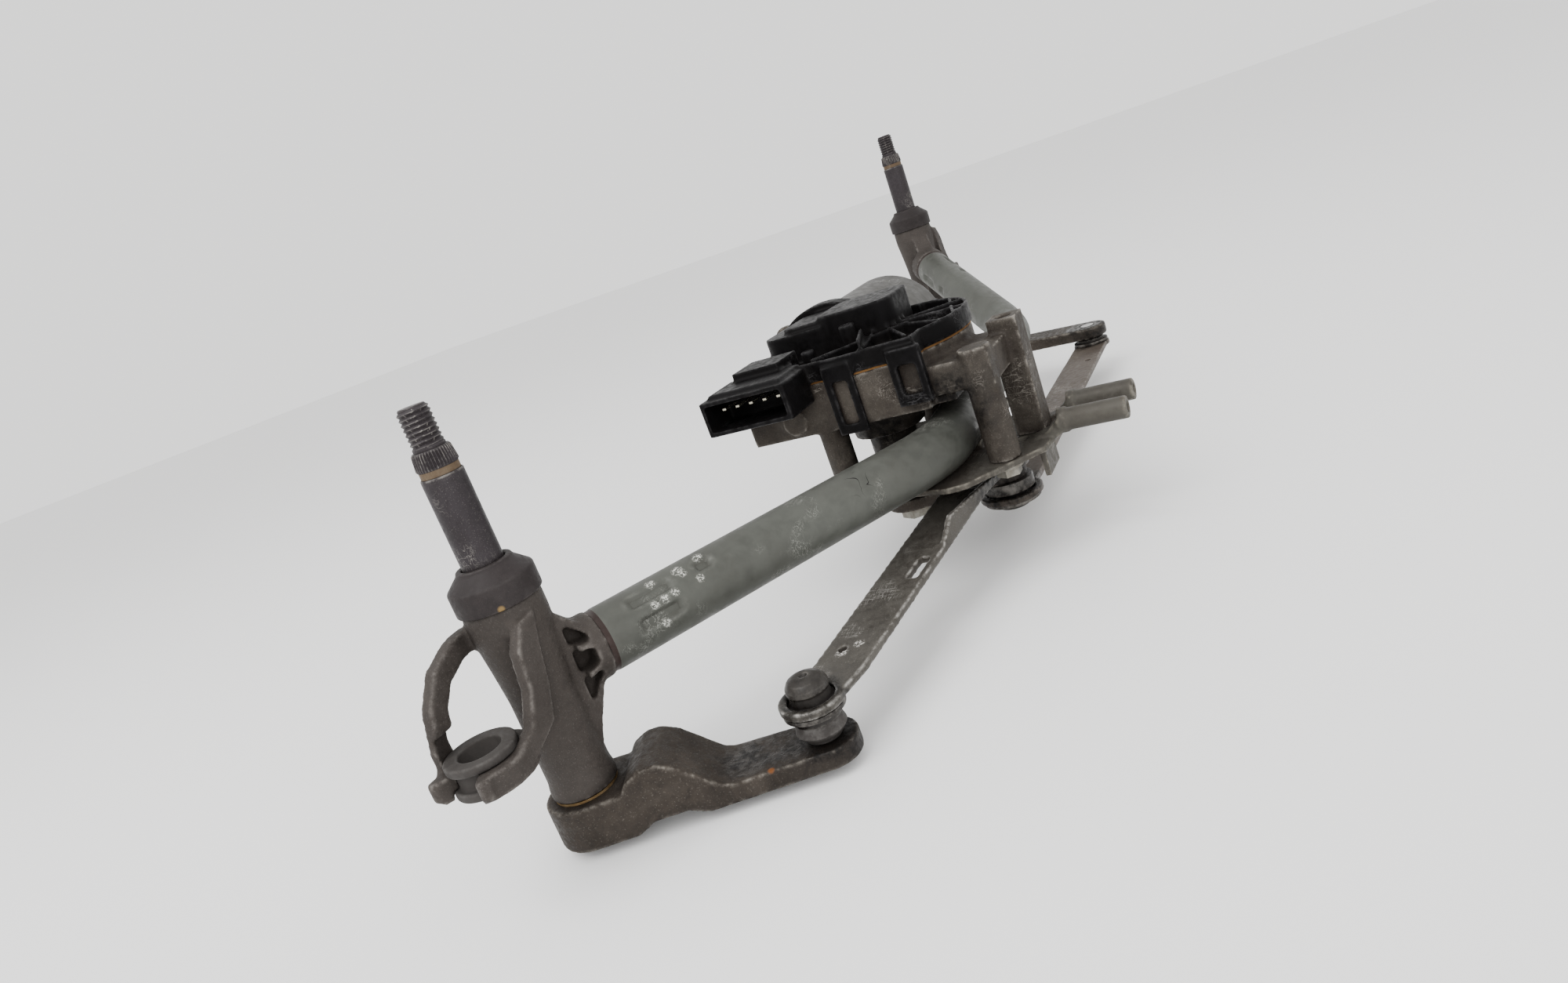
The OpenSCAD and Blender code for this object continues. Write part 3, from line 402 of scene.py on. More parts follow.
def finish_material(name, dark, light, dirt_and_shade, worn, metallic=0.0, rough=(0.45, 0.7), bump=0.25,
                    bump_mm=0.25, fine=1800.0, middle=350.0, large=28.0, wear=0.7, grime_and_shade=0.6,
                    reach=0.008, cloud=60.0, scratch=0.0, rust=0.0, rust_color=(0.23, 0.10, 0.04),
                    spots=0.0, spot_color=(0.014, 0.011, 0.010), spot_scale=420.0, speckle=0.0,
                    specular=0.18, grease_and_shade=(), scuffs=(), marks=(), scribbles=()):
    """One finish, as layers over a two-tone ground, each laid on the ones before it.

    The layers are bare flecks, grimy patches with painted shade in corners and under ledges, rust, spots,
    bare edges with painted shade in the inner hollows, scratches, and then, each as (point, inner radius,
    outer radius) in millimetres: rust-coloured marks, pen lines, scuffs, and greasy patches, which round
    the motor crank pin are painted shade under the bracket. `worn` is the colour of the bare metal or
    plastic under the skin, and the dirt colour that of the grimy patches and of the painted shade in
    corners and hollows. The bump is the pits and lumps of the grain, `bump_mm` deep at full strength.
    """
    mat = bpy.data.materials.new(name)
    mat.use_nodes = True
    mat.node_tree.nodes.clear()
    t = Tree(mat.node_tree)
    pos = t.position()
    grain = t.node("ShaderNodeGroup", {"Fine": fine, "Middle": middle, "Large": large}, node_tree=GRAIN)
    pits, lumps, patches = (grain.outputs[k] for k in ("Pits", "Lumps", "Patches"))
    tone = t.math("ADD", t.times(t.ramp(patches, 0.3, 0.7), 0.6), t.times(t.ramp(lumps, 0.3, 0.7), 0.4))
    color = t.mix(tone, rgba(dark), rgba(light))
    rough_now = t.math("ADD", t.times(t.ramp(lumps, 0.3, 0.7), rough[1] - rough[0]), rough[0])
    metal_now = metallic
    if speckle > 0:
        color = t.mix(t.times(t.ramp(pits, 0.56, 0.74), speckle), color, rgba(worn))
    # Grimy patches, with painted shade in corners and under ledges, laid on in the dirt colour.
    if grime_and_shade > 0:
        g = t.node("ShaderNodeGroup", {"Amount": grime_and_shade, "Reach": reach, "Cloud": cloud}, node_tree=GRIME_AND_SHADE)
        color = t.mix(g.outputs["Mask"], color, rgba(dirt_and_shade))
        rough_now = t.math("ADD", rough_now, t.times(g.outputs["Mask"], 0.2), True)
    if rust > 0:
        r = t.ramp(t.noise(pos, 42.0, 7.0, 0.7, 0.8), 0.72 - 0.25 * rust, 0.80 - 0.2 * rust)
        color = t.mix(r, color, t.mix(t.ramp(lumps, 0.35, 0.65), rgba(rust_color),
                                      rgba(lighter(rust_color, 2.1))))
        rough_now = t.math("ADD", rough_now, t.times(r, 0.3), True)
        metal_now = t.times(t.math("SUBTRACT", 1.0, r), metallic)
    if spots > 0:
        s = t.ramp(t.noise(pos, spot_scale, 5.0, 0.68, 1.2), 0.76 - 0.12 * spots, 0.84 - 0.12 * spots)
        color = t.mix(s, color, rgba(spot_color))
    if wear > 0:
        e = t.node("ShaderNodeGroup", {"Amount": wear, "Breakup": 260.0}, node_tree=EDGE)
        color = t.mix(e.outputs["Edge"], color, rgba(worn))
        # Painted shade in the hollows: inner corners darkened towards the dirt colour.
        color = t.mix(t.times(e.outputs["Hollow"], 0.45 * grime_and_shade), color, rgba(dirt_and_shade))
    if scratch > 0:
        sc = t.node("ShaderNodeGroup", {"Scale": 60.0, "Width": 0.012}, node_tree=SCRATCH)
        m = t.times(sc.outputs["Mask"], scratch)
        color = t.mix(m, color, rgba(worn))
        rough_now = t.math("SUBTRACT", rough_now, t.times(m, 0.2), True)
    for point, inner, outer in marks:
        m = t.times(near_mask(t, point, inner, outer, 0.0, 100.0), 0.85)
        color = t.mix(m, color, rgba(rust_color))
    for point, inner, outer in scribbles:
        n = t.noise(pos, 170.0, 1.0, 0.5, 0.6)
        line = t.ramp(t.math("ABSOLUTE", t.math("SUBTRACT", n, 0.5)), 0.016, 0.006)
        color = t.mix(t.times(near_mask(t, point, inner, outer, 0.1, 100.0), line), color, rgba(INK))
    for point, inner, outer in scuffs:
        streak = t.ramp(t.noise(pos, 1500.0, 2.0, 0.6, 0.6), 0.47, 0.57)
        m = t.times(near_mask(t, point, inner, outer, 0.3, 300.0), streak)
        color = t.mix(m, color, rgba(lighter(worn, 1.5)))
        rough_now = t.math("SUBTRACT", rough_now, t.times(m, 0.2), True)
    # Greasy patches; the ones round the motor crank pin are painted shade under the bracket.
    for point, inner, outer in grease_and_shade:
        m = near_mask(t, point, inner, outer, 0.5, 130.0)
        clots = t.math("ADD", 0.55, t.times(t.ramp(lumps, 0.4, 0.6), 0.45))
        color = t.mix(t.times(m, clots), color, rgba(GREASE_AND_SHADE))
        rough_now = t.math("SUBTRACT", rough_now, t.times(m, 0.22), True)
    height = t.math("ADD", t.times(pits, 0.5), lumps)
    bumped = t.node("ShaderNodeBump", {"Height": height, "Strength": bump, "Distance": bump_mm * MM})
    shader = t.node("ShaderNodeBsdfPrincipled", {"Base Color": color, "Roughness": rough_now,
                                                 "Metallic": metal_now, "Normal": bumped.outputs[0],
                                                 "Specular IOR Level": specular})
    t.feed(t.node("ShaderNodeOutputMaterial").inputs["Surface"], shader.outputs[0])
    return mat


def on_tube(along, degrees):
    """Point on the skin of the tube's first straight, from its end and the angle above sideways.

    Point = start + (gap + along) run + radius (side cos a + up sin a).
    """
    side = np.cross(TUBE_DIRS[0], UP)
    a = math.radians(degrees)
    return (CORNERS[0] + (TUBE_GAP + along) * TUBE_DIRS[0]
            + TUBE_R * (math.cos(a) * side + math.sin(a) * UP))


FINISH = {
    "tube_zinc": finish_material(
        "tube_zinc", (0.044, 0.046, 0.040), (0.080, 0.083, 0.073), (0.03, 0.026, 0.021),
        (0.34, 0.34, 0.31), metallic=0.3, rough=(0.38, 0.6), bump=0.14, fine=900.0, middle=240.0,
        large=22.0, wear=0.35, grime_and_shade=0.6, cloud=34.0, scratch=0.35, spots=0.2, spot_scale=150.0,
        rust_color=(0.016, 0.005, 0.004), specular=0.25,
        marks=[((48.9, -11.3, 10.0), 11.04, 11.10), ((474.8, -12.0, 46.6), 11.04, 11.10)],
        scuffs=[(on_tube(22.0, 70.0), 0.6, 2.2), (on_tube(32.0, 66.0), 0.8, 2.6),
                (on_tube(33.0, 55.0), 0.6, 2.0), (on_tube(19.0, 28.0), 0.5, 1.8),
                (on_tube(23.0, 29.0), 0.6, 1.9), (on_tube(27.0, 31.0), 0.6, 1.9),
                (on_tube(37.0, 30.0), 0.4, 1.8), (on_tube(41.0, 74.0), 0.6, 2.4),
                (on_tube(20.0, -8.0), 0.4, 2.2)],
        # Patch on the tube's underside near the motor crank pin: painted shade under the bracket.
        grease_and_shade=[((205.0, -98.0, 2.0), 4.0, 16.0)],
        scribbles=[(on_tube(108.0, 42.0), 3.0, 7.0)]),
    "bracket_zinc": finish_material(
        "bracket_zinc", (0.036, 0.032, 0.027), (0.080, 0.076, 0.065), (0.022, 0.014, 0.010),
        (0.25, 0.23, 0.19), metallic=0.3, rough=(0.42, 0.7), bump=0.25, wear=0.6, grime_and_shade=0.6, rust=0.4,
        rust_color=(0.085, 0.03, 0.012), scratch=0.5),
    "cast_dark": finish_material(
        "cast_dark", (0.024, 0.0200, 0.0175), (0.054, 0.046, 0.041), (0.013, 0.010, 0.008),
        (0.165, 0.150, 0.138), metallic=0.15, rough=(0.5, 0.75), bump=0.55, bump_mm=0.3, fine=2200.0,
        middle=700.0, large=30.0, wear=0.8, grime_and_shade=0.6, speckle=0.35),
    "cast_gear": finish_material(
        "cast_gear", (0.021, 0.0170, 0.0135), (0.068, 0.059, 0.049), (0.014, 0.009, 0.007),
        (0.23, 0.21, 0.185), metallic=0.2, rough=(0.5, 0.75), bump=0.5, bump_mm=0.3, fine=2000.0,
        middle=420.0, wear=0.85, grime_and_shade=0.8, cloud=90.0, spots=0.5, spot_scale=210.0, speckle=0.3,
        scratch=0.4, grease_and_shade=[((186.0, -100.0, 24.0), 5.0, 26.0), ((196.0, -60.0, 10.0), 8.0, 24.0)]),
    "rubber": finish_material(
        "rubber", (0.026, 0.023, 0.021), (0.050, 0.045, 0.042), (0.012, 0.010, 0.009),
        (0.12, 0.115, 0.11), rough=(0.6, 0.85), bump=0.25, wear=0.5, grime_and_shade=0.5),
    "cap_black": finish_material(
        "cap_black", (0.012, 0.0095, 0.0095), (0.026, 0.0215, 0.0215), (0.010, 0.008, 0.007),
        (0.11, 0.10, 0.095), rough=(0.45, 0.65), bump=0.2, bump_mm=0.2, fine=2600.0, middle=600.0,
        wear=0.5, grime_and_shade=0.35, speckle=0.12, specular=0.14, rust_color=(0.20, 0.13, 0.05),
        marks=[((20.4, -9.5, 38.2), 0.5, 1.4)]),
    "cover_black": finish_material(
        "cover_black", (0.0016, 0.0014, 0.0015), (0.0050, 0.0046, 0.0050), (0.009, 0.0075, 0.0065),
        (0.060, 0.058, 0.060), rough=(0.32, 0.55), bump=0.12, bump_mm=0.15, wear=0.4, grime_and_shade=0.3,
        scratch=0.4, spots=0.1, spot_color=(0.08, 0.07, 0.06), spot_scale=380.0, specular=0.05),
    "bronze": finish_material(
        "bronze", (0.20, 0.12, 0.05), (0.34, 0.22, 0.10), (0.03, 0.02, 0.01), (0.6, 0.45, 0.25),
        metallic=0.9, rough=(0.35, 0.55), wear=0.3, grime_and_shade=0.5),
    "zinc_screw": finish_material(
        "zinc_screw", (0.12, 0.11, 0.09), (0.22, 0.21, 0.18), (0.04, 0.03, 0.02), (0.45, 0.44, 0.40),
        metallic=0.7, rough=(0.3, 0.5), wear=0.3, grime_and_shade=0.7),
    "gasket": finish_material(
        "gasket", (0.085, 0.036, 0.010), (0.165, 0.080, 0.024), (0.02, 0.01, 0.004),
        (0.26, 0.15, 0.05), rough=(0.7, 0.9), wear=0.2, grime_and_shade=0.4),
    "tinned": finish_material(
        "tinned", (0.35, 0.32, 0.24), (0.55, 0.52, 0.42), (0.1, 0.08, 0.05), (0.8, 0.77, 0.65),
        metallic=0.95, rough=(0.2, 0.35), bump=0.05, wear=0.1, grime_and_shade=0.2),
    "board": finish_material(
        "board", (0.006, 0.05, 0.02), (0.012, 0.09, 0.035), (0.005, 0.015, 0.008), (0.1, 0.2, 0.1),
        rough=(0.3, 0.45), bump=0.05, wear=0.1, grime_and_shade=0.2),
    "can_paint": finish_material(
        "can_paint", (0.036, 0.035, 0.032), (0.068, 0.066, 0.061), (0.03, 0.026, 0.022),
        (0.28, 0.28, 0.26), metallic=0.3, rough=(0.36, 0.55), bump=0.1, fine=1200.0, middle=200.0,
        large=16.0, wear=0.4, grime_and_shade=0.5, cloud=26.0, scratch=0.5),
    "ferrite": finish_material(
        "ferrite", (0.02, 0.018, 0.018), (0.04, 0.036, 0.036), (0.01, 0.01, 0.01), (0.12, 0.12, 0.12),
        rough=(0.5, 0.7), wear=0.4, grime_and_shade=0.3),
    "laminate": finish_material(
        "laminate", (0.12, 0.07, 0.03), (0.19, 0.12, 0.055), (0.04, 0.025, 0.015), (0.3, 0.22, 0.12),
        rough=(0.45, 0.6), wear=0.2, grime_and_shade=0.4),
    "carbon": finish_material(
        "carbon", (0.01, 0.01, 0.01), (0.025, 0.025, 0.025), (0.005, 0.005, 0.005), (0.1, 0.1, 0.1),
        rough=(0.4, 0.6), wear=0.3, grime_and_shade=0.1),
    "shaft_steel": finish_material(
        "shaft_steel", (0.019, 0.0160, 0.0175), (0.036, 0.031, 0.034), (0.017, 0.013, 0.011),
        (0.25, 0.235, 0.215), metallic=0.4, rough=(0.38, 0.58), bump=0.14, fine=2400.0, middle=500.0,
        large=26.0, wear=0.75, grime_and_shade=0.35, speckle=0.22, scratch=0.4),
    "groove_tan": finish_material(
        "groove_tan", (0.060, 0.036, 0.020), (0.11, 0.080, 0.050), (0.035, 0.018, 0.01),
        (0.3, 0.26, 0.2), metallic=0.2, rough=(0.5, 0.75), wear=0.3, grime_and_shade=0.3, rust=0.3,
        rust_color=(0.09, 0.04, 0.016)),
    "forged": finish_material(
        "forged", (0.015, 0.0115, 0.0090), (0.054, 0.044, 0.036), (0.008, 0.006, 0.005),
        (0.20, 0.182, 0.158), metallic=0.25, rough=(0.42, 0.75), bump=0.6, bump_mm=0.35, fine=1500.0,
        middle=420.0, large=40.0, wear=0.9, grime_and_shade=0.8, reach=0.012, cloud=70.0, spots=0.35,
        spot_scale=190.0, spot_color=(0.006, 0.005, 0.004), speckle=0.3, rust=0.1,
        rust_color=(0.16, 0.055, 0.014), marks=[((46.5, -58.3, -39.0), 0.6, 1.5)],
        # The patch at the motor crank pin is painted shade under the bracket; those at the balls and on
        # the lever are greasy patches.
        grease_and_shade=[((64.0, -70.0, -34.0), 9.0, 24.0), ((52.0, -46.0, -38.0), 4.0, 14.0),
                ((474.0, -99.0, -20.0), 8.0, 18.0), ((229.0, -98.0, -18.0), 9.0, 22.0)]),
    "polished": finish_material(
        "polished", (0.3, 0.3, 0.3), (0.45, 0.45, 0.44), (0.05, 0.04, 0.02), (0.7, 0.7, 0.68),
        metallic=1.0, rough=(0.15, 0.3), bump=0.04, wear=0.1, grime_and_shade=0.6),
    "nylon": finish_material(
        "nylon", (0.4, 0.38, 0.3), (0.55, 0.52, 0.44), (0.15, 0.12, 0.06), (0.7, 0.68, 0.62),
        rough=(0.35, 0.5), wear=0.2, grime_and_shade=0.4),
    "socket": finish_material(
        "socket", (0.009, 0.0075, 0.0065), (0.032, 0.028, 0.024), (0.006, 0.0045, 0.004),
        (0.22, 0.205, 0.185), metallic=0.1, rough=(0.28, 0.6), bump=0.35, wear=0.7, grime_and_shade=0.8,
        reach=0.006, cloud=110.0, spots=0.3, specular=0.25,
        # The patch at the motor crank pin is painted shade under the bracket; the one at the near ball is
        # a greasy patch.
        grease_and_shade=[((229.0, -98.0, -20.0), 6.0, 16.0), ((60.0, -66.0, -30.0), 5.0, 13.0)]),
    "near_strip": finish_material(
        "near_strip", (0.036, 0.032, 0.027), (0.086, 0.080, 0.070), (0.018, 0.013, 0.010),
        (0.40, 0.385, 0.36), metallic=0.3, rough=(0.38, 0.62), bump=0.25, wear=0.9, grime_and_shade=0.6,
        scratch=0.5, speckle=0.2, spots=0.3,
        # The wide patch at the rod's far end, by the motor crank pin, is painted shade under the bracket;
        # the one at the near ball is a greasy patch.
        grease_and_shade=[((200.0, -94.0, -12.0), 10.0, 30.0), ((64.0, -70.0, -27.0), 8.0, 14.0)],
        scuffs=[((88.0, -72.0, -24.0), 0.6, 3.0), ((92.0, -77.0, -23.0), 0.6, 2.4)]),
    "far_strip": finish_material(
        "far_strip", (0.052, 0.041, 0.033), (0.098, 0.082, 0.068), (0.028, 0.019, 0.014),
        (0.27, 0.245, 0.22), metallic=0.25, rough=(0.4, 0.62), bump=0.18, wear=0.6, grime_and_shade=0.5,
        # The patch at the motor crank pin is painted shade under the bracket; the one at the far ball is a
        # greasy patch.
        scratch=0.5, grease_and_shade=[((229.0, -98.0, -30.0), 12.0, 26.0), ((474.0, -99.0, -29.0), 9.0, 16.0)]),
    "core_steel": finish_material(
        "core_steel", (0.1, 0.1, 0.1), (0.18, 0.18, 0.18), (0.04, 0.03, 0.025), (0.3, 0.3, 0.3),
        metallic=0.7, rough=(0.35, 0.5), wear=0.4, grime_and_shade=0.3),
    "copper_bar": finish_material(
        "copper_bar", (0.4, 0.17, 0.07), (0.55, 0.27, 0.13), (0.06, 0.03, 0.01), (0.8, 0.5, 0.3),
        metallic=1.0, rough=(0.2, 0.35), wear=0.2, grime_and_shade=0.4),
    "copper_wire": finish_material(
        "copper_wire", (0.24, 0.08, 0.025), (0.38, 0.14, 0.045), (0.05, 0.02, 0.01), (0.6, 0.3, 0.12),
        metallic=0.6, rough=(0.25, 0.4), wear=0.2, grime_and_shade=0.3),
}

SLOT_FINISH = {
    "galvanised_tube": "tube_zinc", "galvanised_bracket": "bracket_zinc", "cast_housing": "cast_dark",
    "gear_casting": "cast_gear", "soft_rubber": "rubber", "cap_plastic": "cap_black",
    "sintered_bronze": "bronze", "zinc_fastener": "zinc_screw", "cover_plastic": "cover_black",
    "gasket_cork": "gasket", "tinned_copper": "tinned", "board_green": "board",
    "can_steel": "can_paint", "ferrite": "ferrite", "laminate_plate": "laminate", "carbon": "carbon",
    "shaft_steel": "shaft_steel", "forged_steel": "forged", "polished_steel": "polished",
    "gear_nylon": "nylon", "socket_plastic": "socket", "near_strip_steel": "near_strip",
    "far_strip_steel": "far_strip", "core_steel": "core_steel", "copper_bars": "copper_bar",
    "copper_wire": "copper_wire",
}
NODE_SLOT = {s["node"]: s["material_slot"] for s in frame["record"]["subparts"]}
NODE_BODY = {node: body for body, nodes in frame["record"]["behaviour"]["bodies"].items()
             for node in nodes}


def trim(obj, node, finish):
    """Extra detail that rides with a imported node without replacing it."""
    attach(obj, NODE_BODY[node])
    obj.data.materials.clear()
    obj.data.materials.append(FINISH[finish])


def stand_for(obj, node):
    """Gives a new piece the body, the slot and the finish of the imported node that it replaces."""
    trim(obj, node, SLOT_FINISH[NODE_SLOT[node]])
    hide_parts(node)


for node_name, node_obj in frame["nodes"].items():
    for mat_slot in node_obj.material_slots:
        mat_slot.material = FINISH[SLOT_FINISH[NODE_SLOT[node_name]]]


# ---------------------------------------------------------------- frame tube
def tube_centre(samples):
    """Centre line of the tube, evenly sampled by length, and the length up to each sample.

    Straights are joined by arcs: point = start + R sin a along the straight + R (1 - cos a) inwards.
    """
    pts = [CORNERS[0]]
    for k in (1, 2):
        u, v = TUBE_DIRS[k - 1], TUBE_DIRS[k]
        phi = math.acos(u @ v)
        cut = BEND_R * math.tan(phi / 2)
        inward = (v - (u @ v) * u) / np.linalg.norm(v - (u @ v) * u)
        start = CORNERS[k] - cut * u
        a = np.linspace(0, phi, 40)[:, None]
        pts.extend(start + BEND_R * np.sin(a) * u + BEND_R * (1 - np.cos(a)) * inward)
    pts.append(CORNERS[3])
    pts = np.array(pts)
    length = np.concatenate([[0], np.cumsum(np.linalg.norm(np.diff(pts, axis=0), axis=1))])
    s = np.linspace(TUBE_GAP, length[-1] - TUBE_GAP, samples)
    return np.stack([np.interp(s, length, pts[:, k]) for k in range(3)], 1), s - s[0]


def tube_piece():
    """Round tube carried along its centre line, with long crimp dents near each end.

    Radius = TUBE_R - sum of dents; a dent is a flat-bottomed trough along the tube whose depth falls
    off as a bell curve over its sides and ends. The inner wall is a second run of rows going back.
    """
    rows, cols = 380, 120
    half_width, fall_off, end_chamfer = 1.1, 1.2, 0.25
    centre, s = tube_centre(rows)
    tangent = np.gradient(centre, axis=0)
    tangent /= np.linalg.norm(tangent, axis=1, keepdims=True)
    side = np.cross(tangent, UP)
    side /= np.linalg.norm(side, axis=1, keepdims=True)
    lift = np.cross(side, tangent)
    t = full_turn(cols)
    radius = np.full((rows, cols), TUBE_R)
    dents = [(19.5, 52.0, 1.7, 6.5), (19.5, 6.0, 1.6, 6.5), (40.5, 54.0, 1.6, 1.6),
             (19.5, 176.0, 1.5, 6.5), (40.5, 172.0, 1.3, 1.6)]      # middle, degrees, depth, half length
    far_dents = [(s[-1] - middle, *shape) for middle, *shape in dents]
    for middle, degrees, depth, half_length in dents + far_dents:
        along = np.maximum(np.abs(s - middle) - half_length, 0) / fall_off
        turned = np.abs(np.angle(np.exp(1j * (t - math.radians(degrees))))) * TUBE_R
        around = np.maximum(turned - half_width, 0) / fall_off
        radius -= depth * np.exp(-along[:, None] ** 2 - around[None, :] ** 2)
    radius[:2] -= end_chamfer
    radius[-2:] -= end_chamfer
    ring = np.cos(t)[None, :, None] * side[:, None] + np.sin(t)[None, :, None] * lift[:, None]
    outer = centre[:, None] + radius[..., None] * ring
    inner = (centre[:, None] + TUBE_IN * ring)[::-1]
    pts = np.concatenate([outer, inner]).reshape(-1, 3)
    return add_object("frame_tube_drawn", pts, ring_faces(2 * rows, cols, True))


stand_for(tube_piece(), "frame_tube")


# ---------------------------------------------------------------- turned pieces of the pivots
def wiper_shaft(name, low, place):
    """Pivot shaft: plain bar, tan groove, splined cone and a rolled thread.

    Heights are above the pivot's foot. Radius = profile + depth sin(teeth t) over the spline, less
    depth |2 phase - 1| over the thread, where phase is the fraction of (h / pitch - t / full turn). Both
    fade in and out at their ends.
    """
    cols, teeth, tooth_depth, pitch, thread_depth = 240, 40, 0.2, 1.5, 0.62
    h = np.concatenate([[low, low + 0.4, low + 0.8], np.linspace(low + 2, 78.7, 40),
                        [79.2, 79.5], [79.52, 80.2, 81.0, 81.68], np.linspace(81.7, 87.4, 24),
                        [87.5], np.linspace(87.6, 100.5, 150)])
    r = np.interp(h, [low, low + 0.8, 79.2, 79.5, 79.52, 81.68, 81.7, 82.3, 86.9, 87.4, 87.5, 99.4, 100.5],
                  [5.7, 6.5, 6.5, 6.3, 5.9, 5.9, 6.0, 6.3, 5.75, 5.5, 4.9, 4.9, 3.8])
    t = full_turn(cols)
    spline_fade = np.interp(h, [81.6, 82.2, 86.8, 87.3], [0, 1, 1, 0])[:, None]
    thread_fade = np.interp(h, [88.2, 89.0, 99.6, 100.3], [0, 1, 1, 0])[:, None]
    spline = tooth_depth * np.sin(teeth * t)[None, :] * spline_fade
    phase = (h[:, None] / pitch - t[None, :] / (2 * np.pi)) % 1.0
    thread = thread_depth * np.abs(2 * phase - 1) * thread_fade
    return lathe(name, r[:, None] + spline - thread, h, place)


def groove_band(name, place):
    """Thin tan band lying in the groove below the spline: (r, z) outline turned round the axis."""
    outline = [(5.7, 79.55), (6.02, 79.55), (6.02, 81.65), (5.7, 81.65)]
    return lathe_ring(name, round_profile(outline, 0.1), place, 120)


def dust_cap(name, place):
    """Moulded cap: skirt, sloping shoulder and a thin lip round the shaft, as a turned (r, z) outline."""
    outline = [(11.4, 37.5), (13.5, 37.5), (13.5, 45.2), (9.0, 49.3), (8.6, 50.5), (6.85, 50.5),
               (6.85, 48.8), (11.4, 44.0)]
    return lathe_ring(name, round_profile(outline, 0.7, 5), place, 128)


def grommet(name, place):
    """Rubber grommet: waisted ring with rounded lips, as a turned (r, z) outline."""
    outline = [(6.5, -5.5), (11.0, -5.5), (11.0, -2.6), (9.0, -2.4), (9.0, 2.4), (11.0, 2.6), (11.0, 5.5),
               (6.5, 5.5)]
    return lathe_ring(name, round_profile(outline, 0.9, 5), place)


stand_for(wiper_shaft("near_shaft_turned", -47.0, NEAR), "near_shaft")
stand_for(wiper_shaft("far_shaft_turned", -63.5, FAR), "far_shaft")
trim(groove_band("near_groove_band", NEAR), "near_shaft", "groove_tan")
trim(groove_band("far_groove_band", FAR), "far_shaft", "groove_tan")
stand_for(dust_cap("near_dust_cap_moulded", NEAR), "near_dust_cap")
stand_for(dust_cap("far_dust_cap_moulded", FAR), "far_dust_cap")
stand_for(grommet("near_grommet_moulded", NEAR_GROMMET), "near_grommet")
stand_for(grommet("far_grommet_moulded", FAR_GROMMET), "far_grommet")

# ---------------------------------------------------------------- castings, forgings and pressings
stand_for(cast("near_housing_cast", "near_pivot_housing", 0.7, 7,
               cutter=pocket_cutters(CORNERS[0], TUBE_DIRS[0])), "near_pivot_housing")
for piece, node_name, voxel, passes in (
        ("far_housing_cast", "far_pivot_housing", 0.75, 7),
        ("near_lever_forged", "near_crank_lever", 0.7, 8),
        ("far_lever_forged", "far_crank_lever", 0.8, 6),
        ("gear_housing_cast", "gear_housing", 1.0, 3),
        ("motor_can_drawn", "motor_can", 0.9, 4),
        ("near_rod_pressed", "near_rod_bar", 0.55, 3),
        ("far_rod_pressed", "far_rod_bar", 0.6, 3),
        ("bracket_pressed", "motor_bracket", 0.7, 3),
        ("motor_crank_forged", "motor_crank_arm", 0.6, 4)):
    stand_for(cast(piece, node_name, voxel, passes), node_name)
stand_for(cast("gear_cover_moulded", "gear_cover", 0.75, 2, amount=0.5), "gear_cover")


# ---------------------------------------------------------------- ball sockets
BALL_HOLLOW = [(0.05, 5.1), (2.6, 4.4), (4.4, 2.5), (5.05, 0.0), (4.6, -2.1)]      # from the top down


def socket_piece(name, place, top, low, turn=np.eye(3)):
    """Ball socket: stepped flange, bulging dome with a small dimple and a hollow for the ball.

    The (r, z) outline is measured from the middle of the ball; top and low are its two ends.
    """
    outline = [(4.2, low), (8.0, low), (8.3, -2.4), (10.5, -2.2), (10.5, -0.6), (8.9, -0.2), (8.8, 0.8),
               (7.0, 1.6), (6.7, top - 5.2), (7.2, top - 4.6), (7.1, top - 3.0), (5.9, top - 1.1),
               (3.6, top - 0.15), (1.5, top), (1.1, top - 0.7), (0.05, top - 0.9), *BALL_HOLLOW,
               (4.2, -2.8)]
    return lathe_ring(name, round_profile(outline, 0.45, 3), place, turn=turn)


def spool_piece(name, place, top, low, wide, turn=np.eye(3)):
    """Bearing spool on a crank ball: lower flange, neck, upper flange of radius `wide`, low dome.

    The (r, z) outline is measured from the middle of the ball; top and low are its two ends.
    """
    outline = [(3.5, low), (11.0, low), (11.0, -2.1), (6.6, -2.0), (6.6, 1.9), (wide, 1.9), (wide, 3.1),
               (8.4, 3.6), (7.2, top - 1.3), (4.2, top - 0.1), (0.05, top), *BALL_HOLLOW, (3.5, -3.2)]
    return lathe_ring(name, round_profile(outline, 0.4, 3), place, turn=turn)


stand_for(socket_piece("near_socket_moulded", NEAR_BALL, 10.0, -5.0), "near_rod_socket")
stand_for(socket_piece("far_socket_moulded", FAR_BALL, 7.5, -3.8, TURNED_OVER), "far_rod_socket")
stand_for(spool_piece("near_spool_moulded", PIN - 12.5 * UP, 6.6, -5.5, 12.0), "near_rod_spool")
stand_for(spool_piece("far_spool_moulded", PIN - 30.0 * UP, 7.0, -7.0, 12.5, TURNED_OVER), "far_rod_spool")

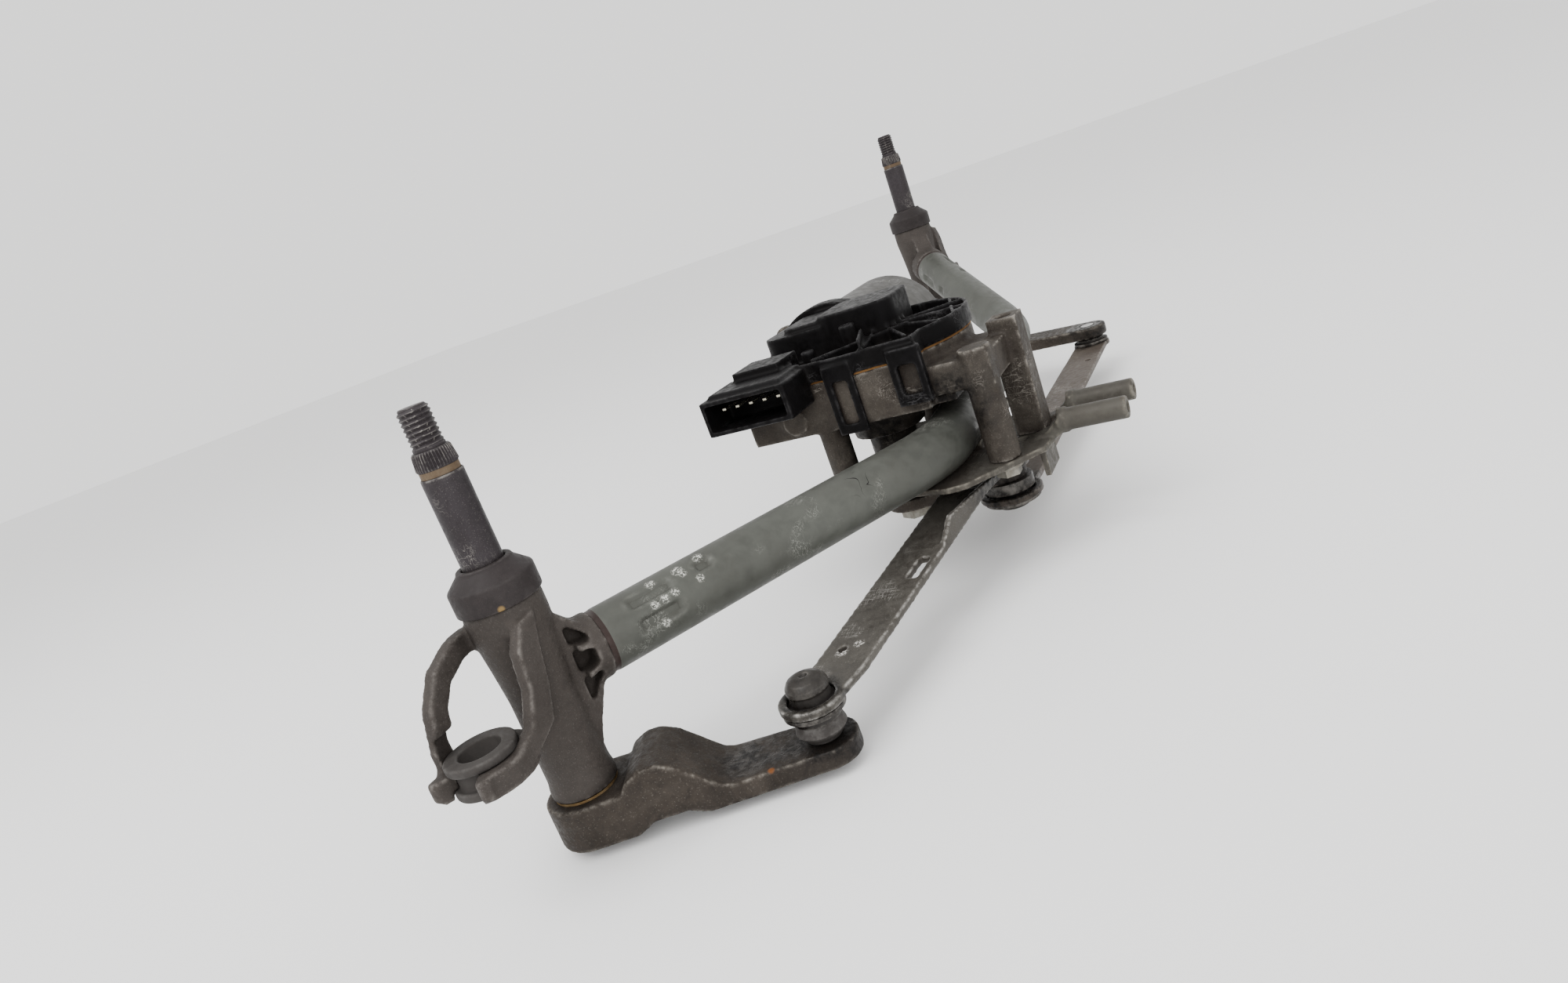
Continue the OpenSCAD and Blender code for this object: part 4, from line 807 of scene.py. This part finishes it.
# ---------------------------------------------------------------- floor, light and camera
FLOOR_Z = -0.0495                              # 2.5 mm below the lowest point of the part
FLOOR_PALE = (0.86, 0.86, 0.86, 1.0)
SKY_WHITE, SKY_STRENGTH = (1.0, 0.995, 0.985, 1.0), 1.5
LIT_POINT = (0.2, -0.05, 0.0)
CAMERA_PLACE = (-0.1689, -0.2246, 0.1166)
CAMERA_LOOK = (0.830, 0.492, -0.263)
CAMERA_RIGHT = (0.401, -0.854, -0.332)

floor_mesh = bpy.data.meshes.new("floor")
floor_mesh.from_pydata([(x, y, FLOOR_Z) for x, y in ((-6, -6), (7, -6), (7, 7), (-6, 7))], [],
                       [(0, 1, 2, 3)])
floor = new_object("floor", floor_mesh)
floor_mat = bpy.data.materials.new("floor_white")
floor_mat.use_nodes = True
floor_skin = floor_mat.node_tree.nodes["Principled BSDF"]
floor_skin.inputs["Base Color"].default_value = FLOOR_PALE
floor_skin.inputs["Roughness"].default_value = 0.9
floor_mesh.materials.append(floor_mat)

world = bpy.data.worlds.new("studio")
bpy.context.scene.world = world
world.use_nodes = True
sky = world.node_tree.nodes["Background"]
sky.inputs["Color"].default_value = SKY_WHITE
sky.inputs["Strength"].default_value = SKY_STRENGTH


def area_light(name, place, size, power):
    """Square soft light at a place in metres, turned to face the lit point."""
    data = bpy.data.lights.new(name, "AREA")
    data.shape = "SQUARE"
    data.size = size
    data.energy = power
    obj = new_object(name, data)
    obj.location = place
    obj.rotation_euler = (Vector(LIT_POINT) - Vector(place)).to_track_quat("-Z", "Y").to_euler()


area_light("key", (-0.5, 0.15, 1.1), 0.9, 14.0)
area_light("fill", (-0.7, -1.0, 0.5), 1.2, 8.0)

cam_data = bpy.data.cameras.new("camera")
cam_data.lens = 22.5
cam_data.sensor_width = 36.0
cam_data.sensor_fit = "HORIZONTAL"
cam_data.clip_start = 0.01
cam_data.clip_end = 50.0
camera = new_object("camera", cam_data)
look = Vector(CAMERA_LOOK).normalized()
right = Vector(CAMERA_RIGHT)
right = (right - right.dot(look) * look).normalized()
up = right.cross(look)
camera.matrix_world = (Matrix.Translation(CAMERA_PLACE)
                       @ Matrix((right, up, -look)).transposed().to_4x4())
bpy.context.scene.camera = camera
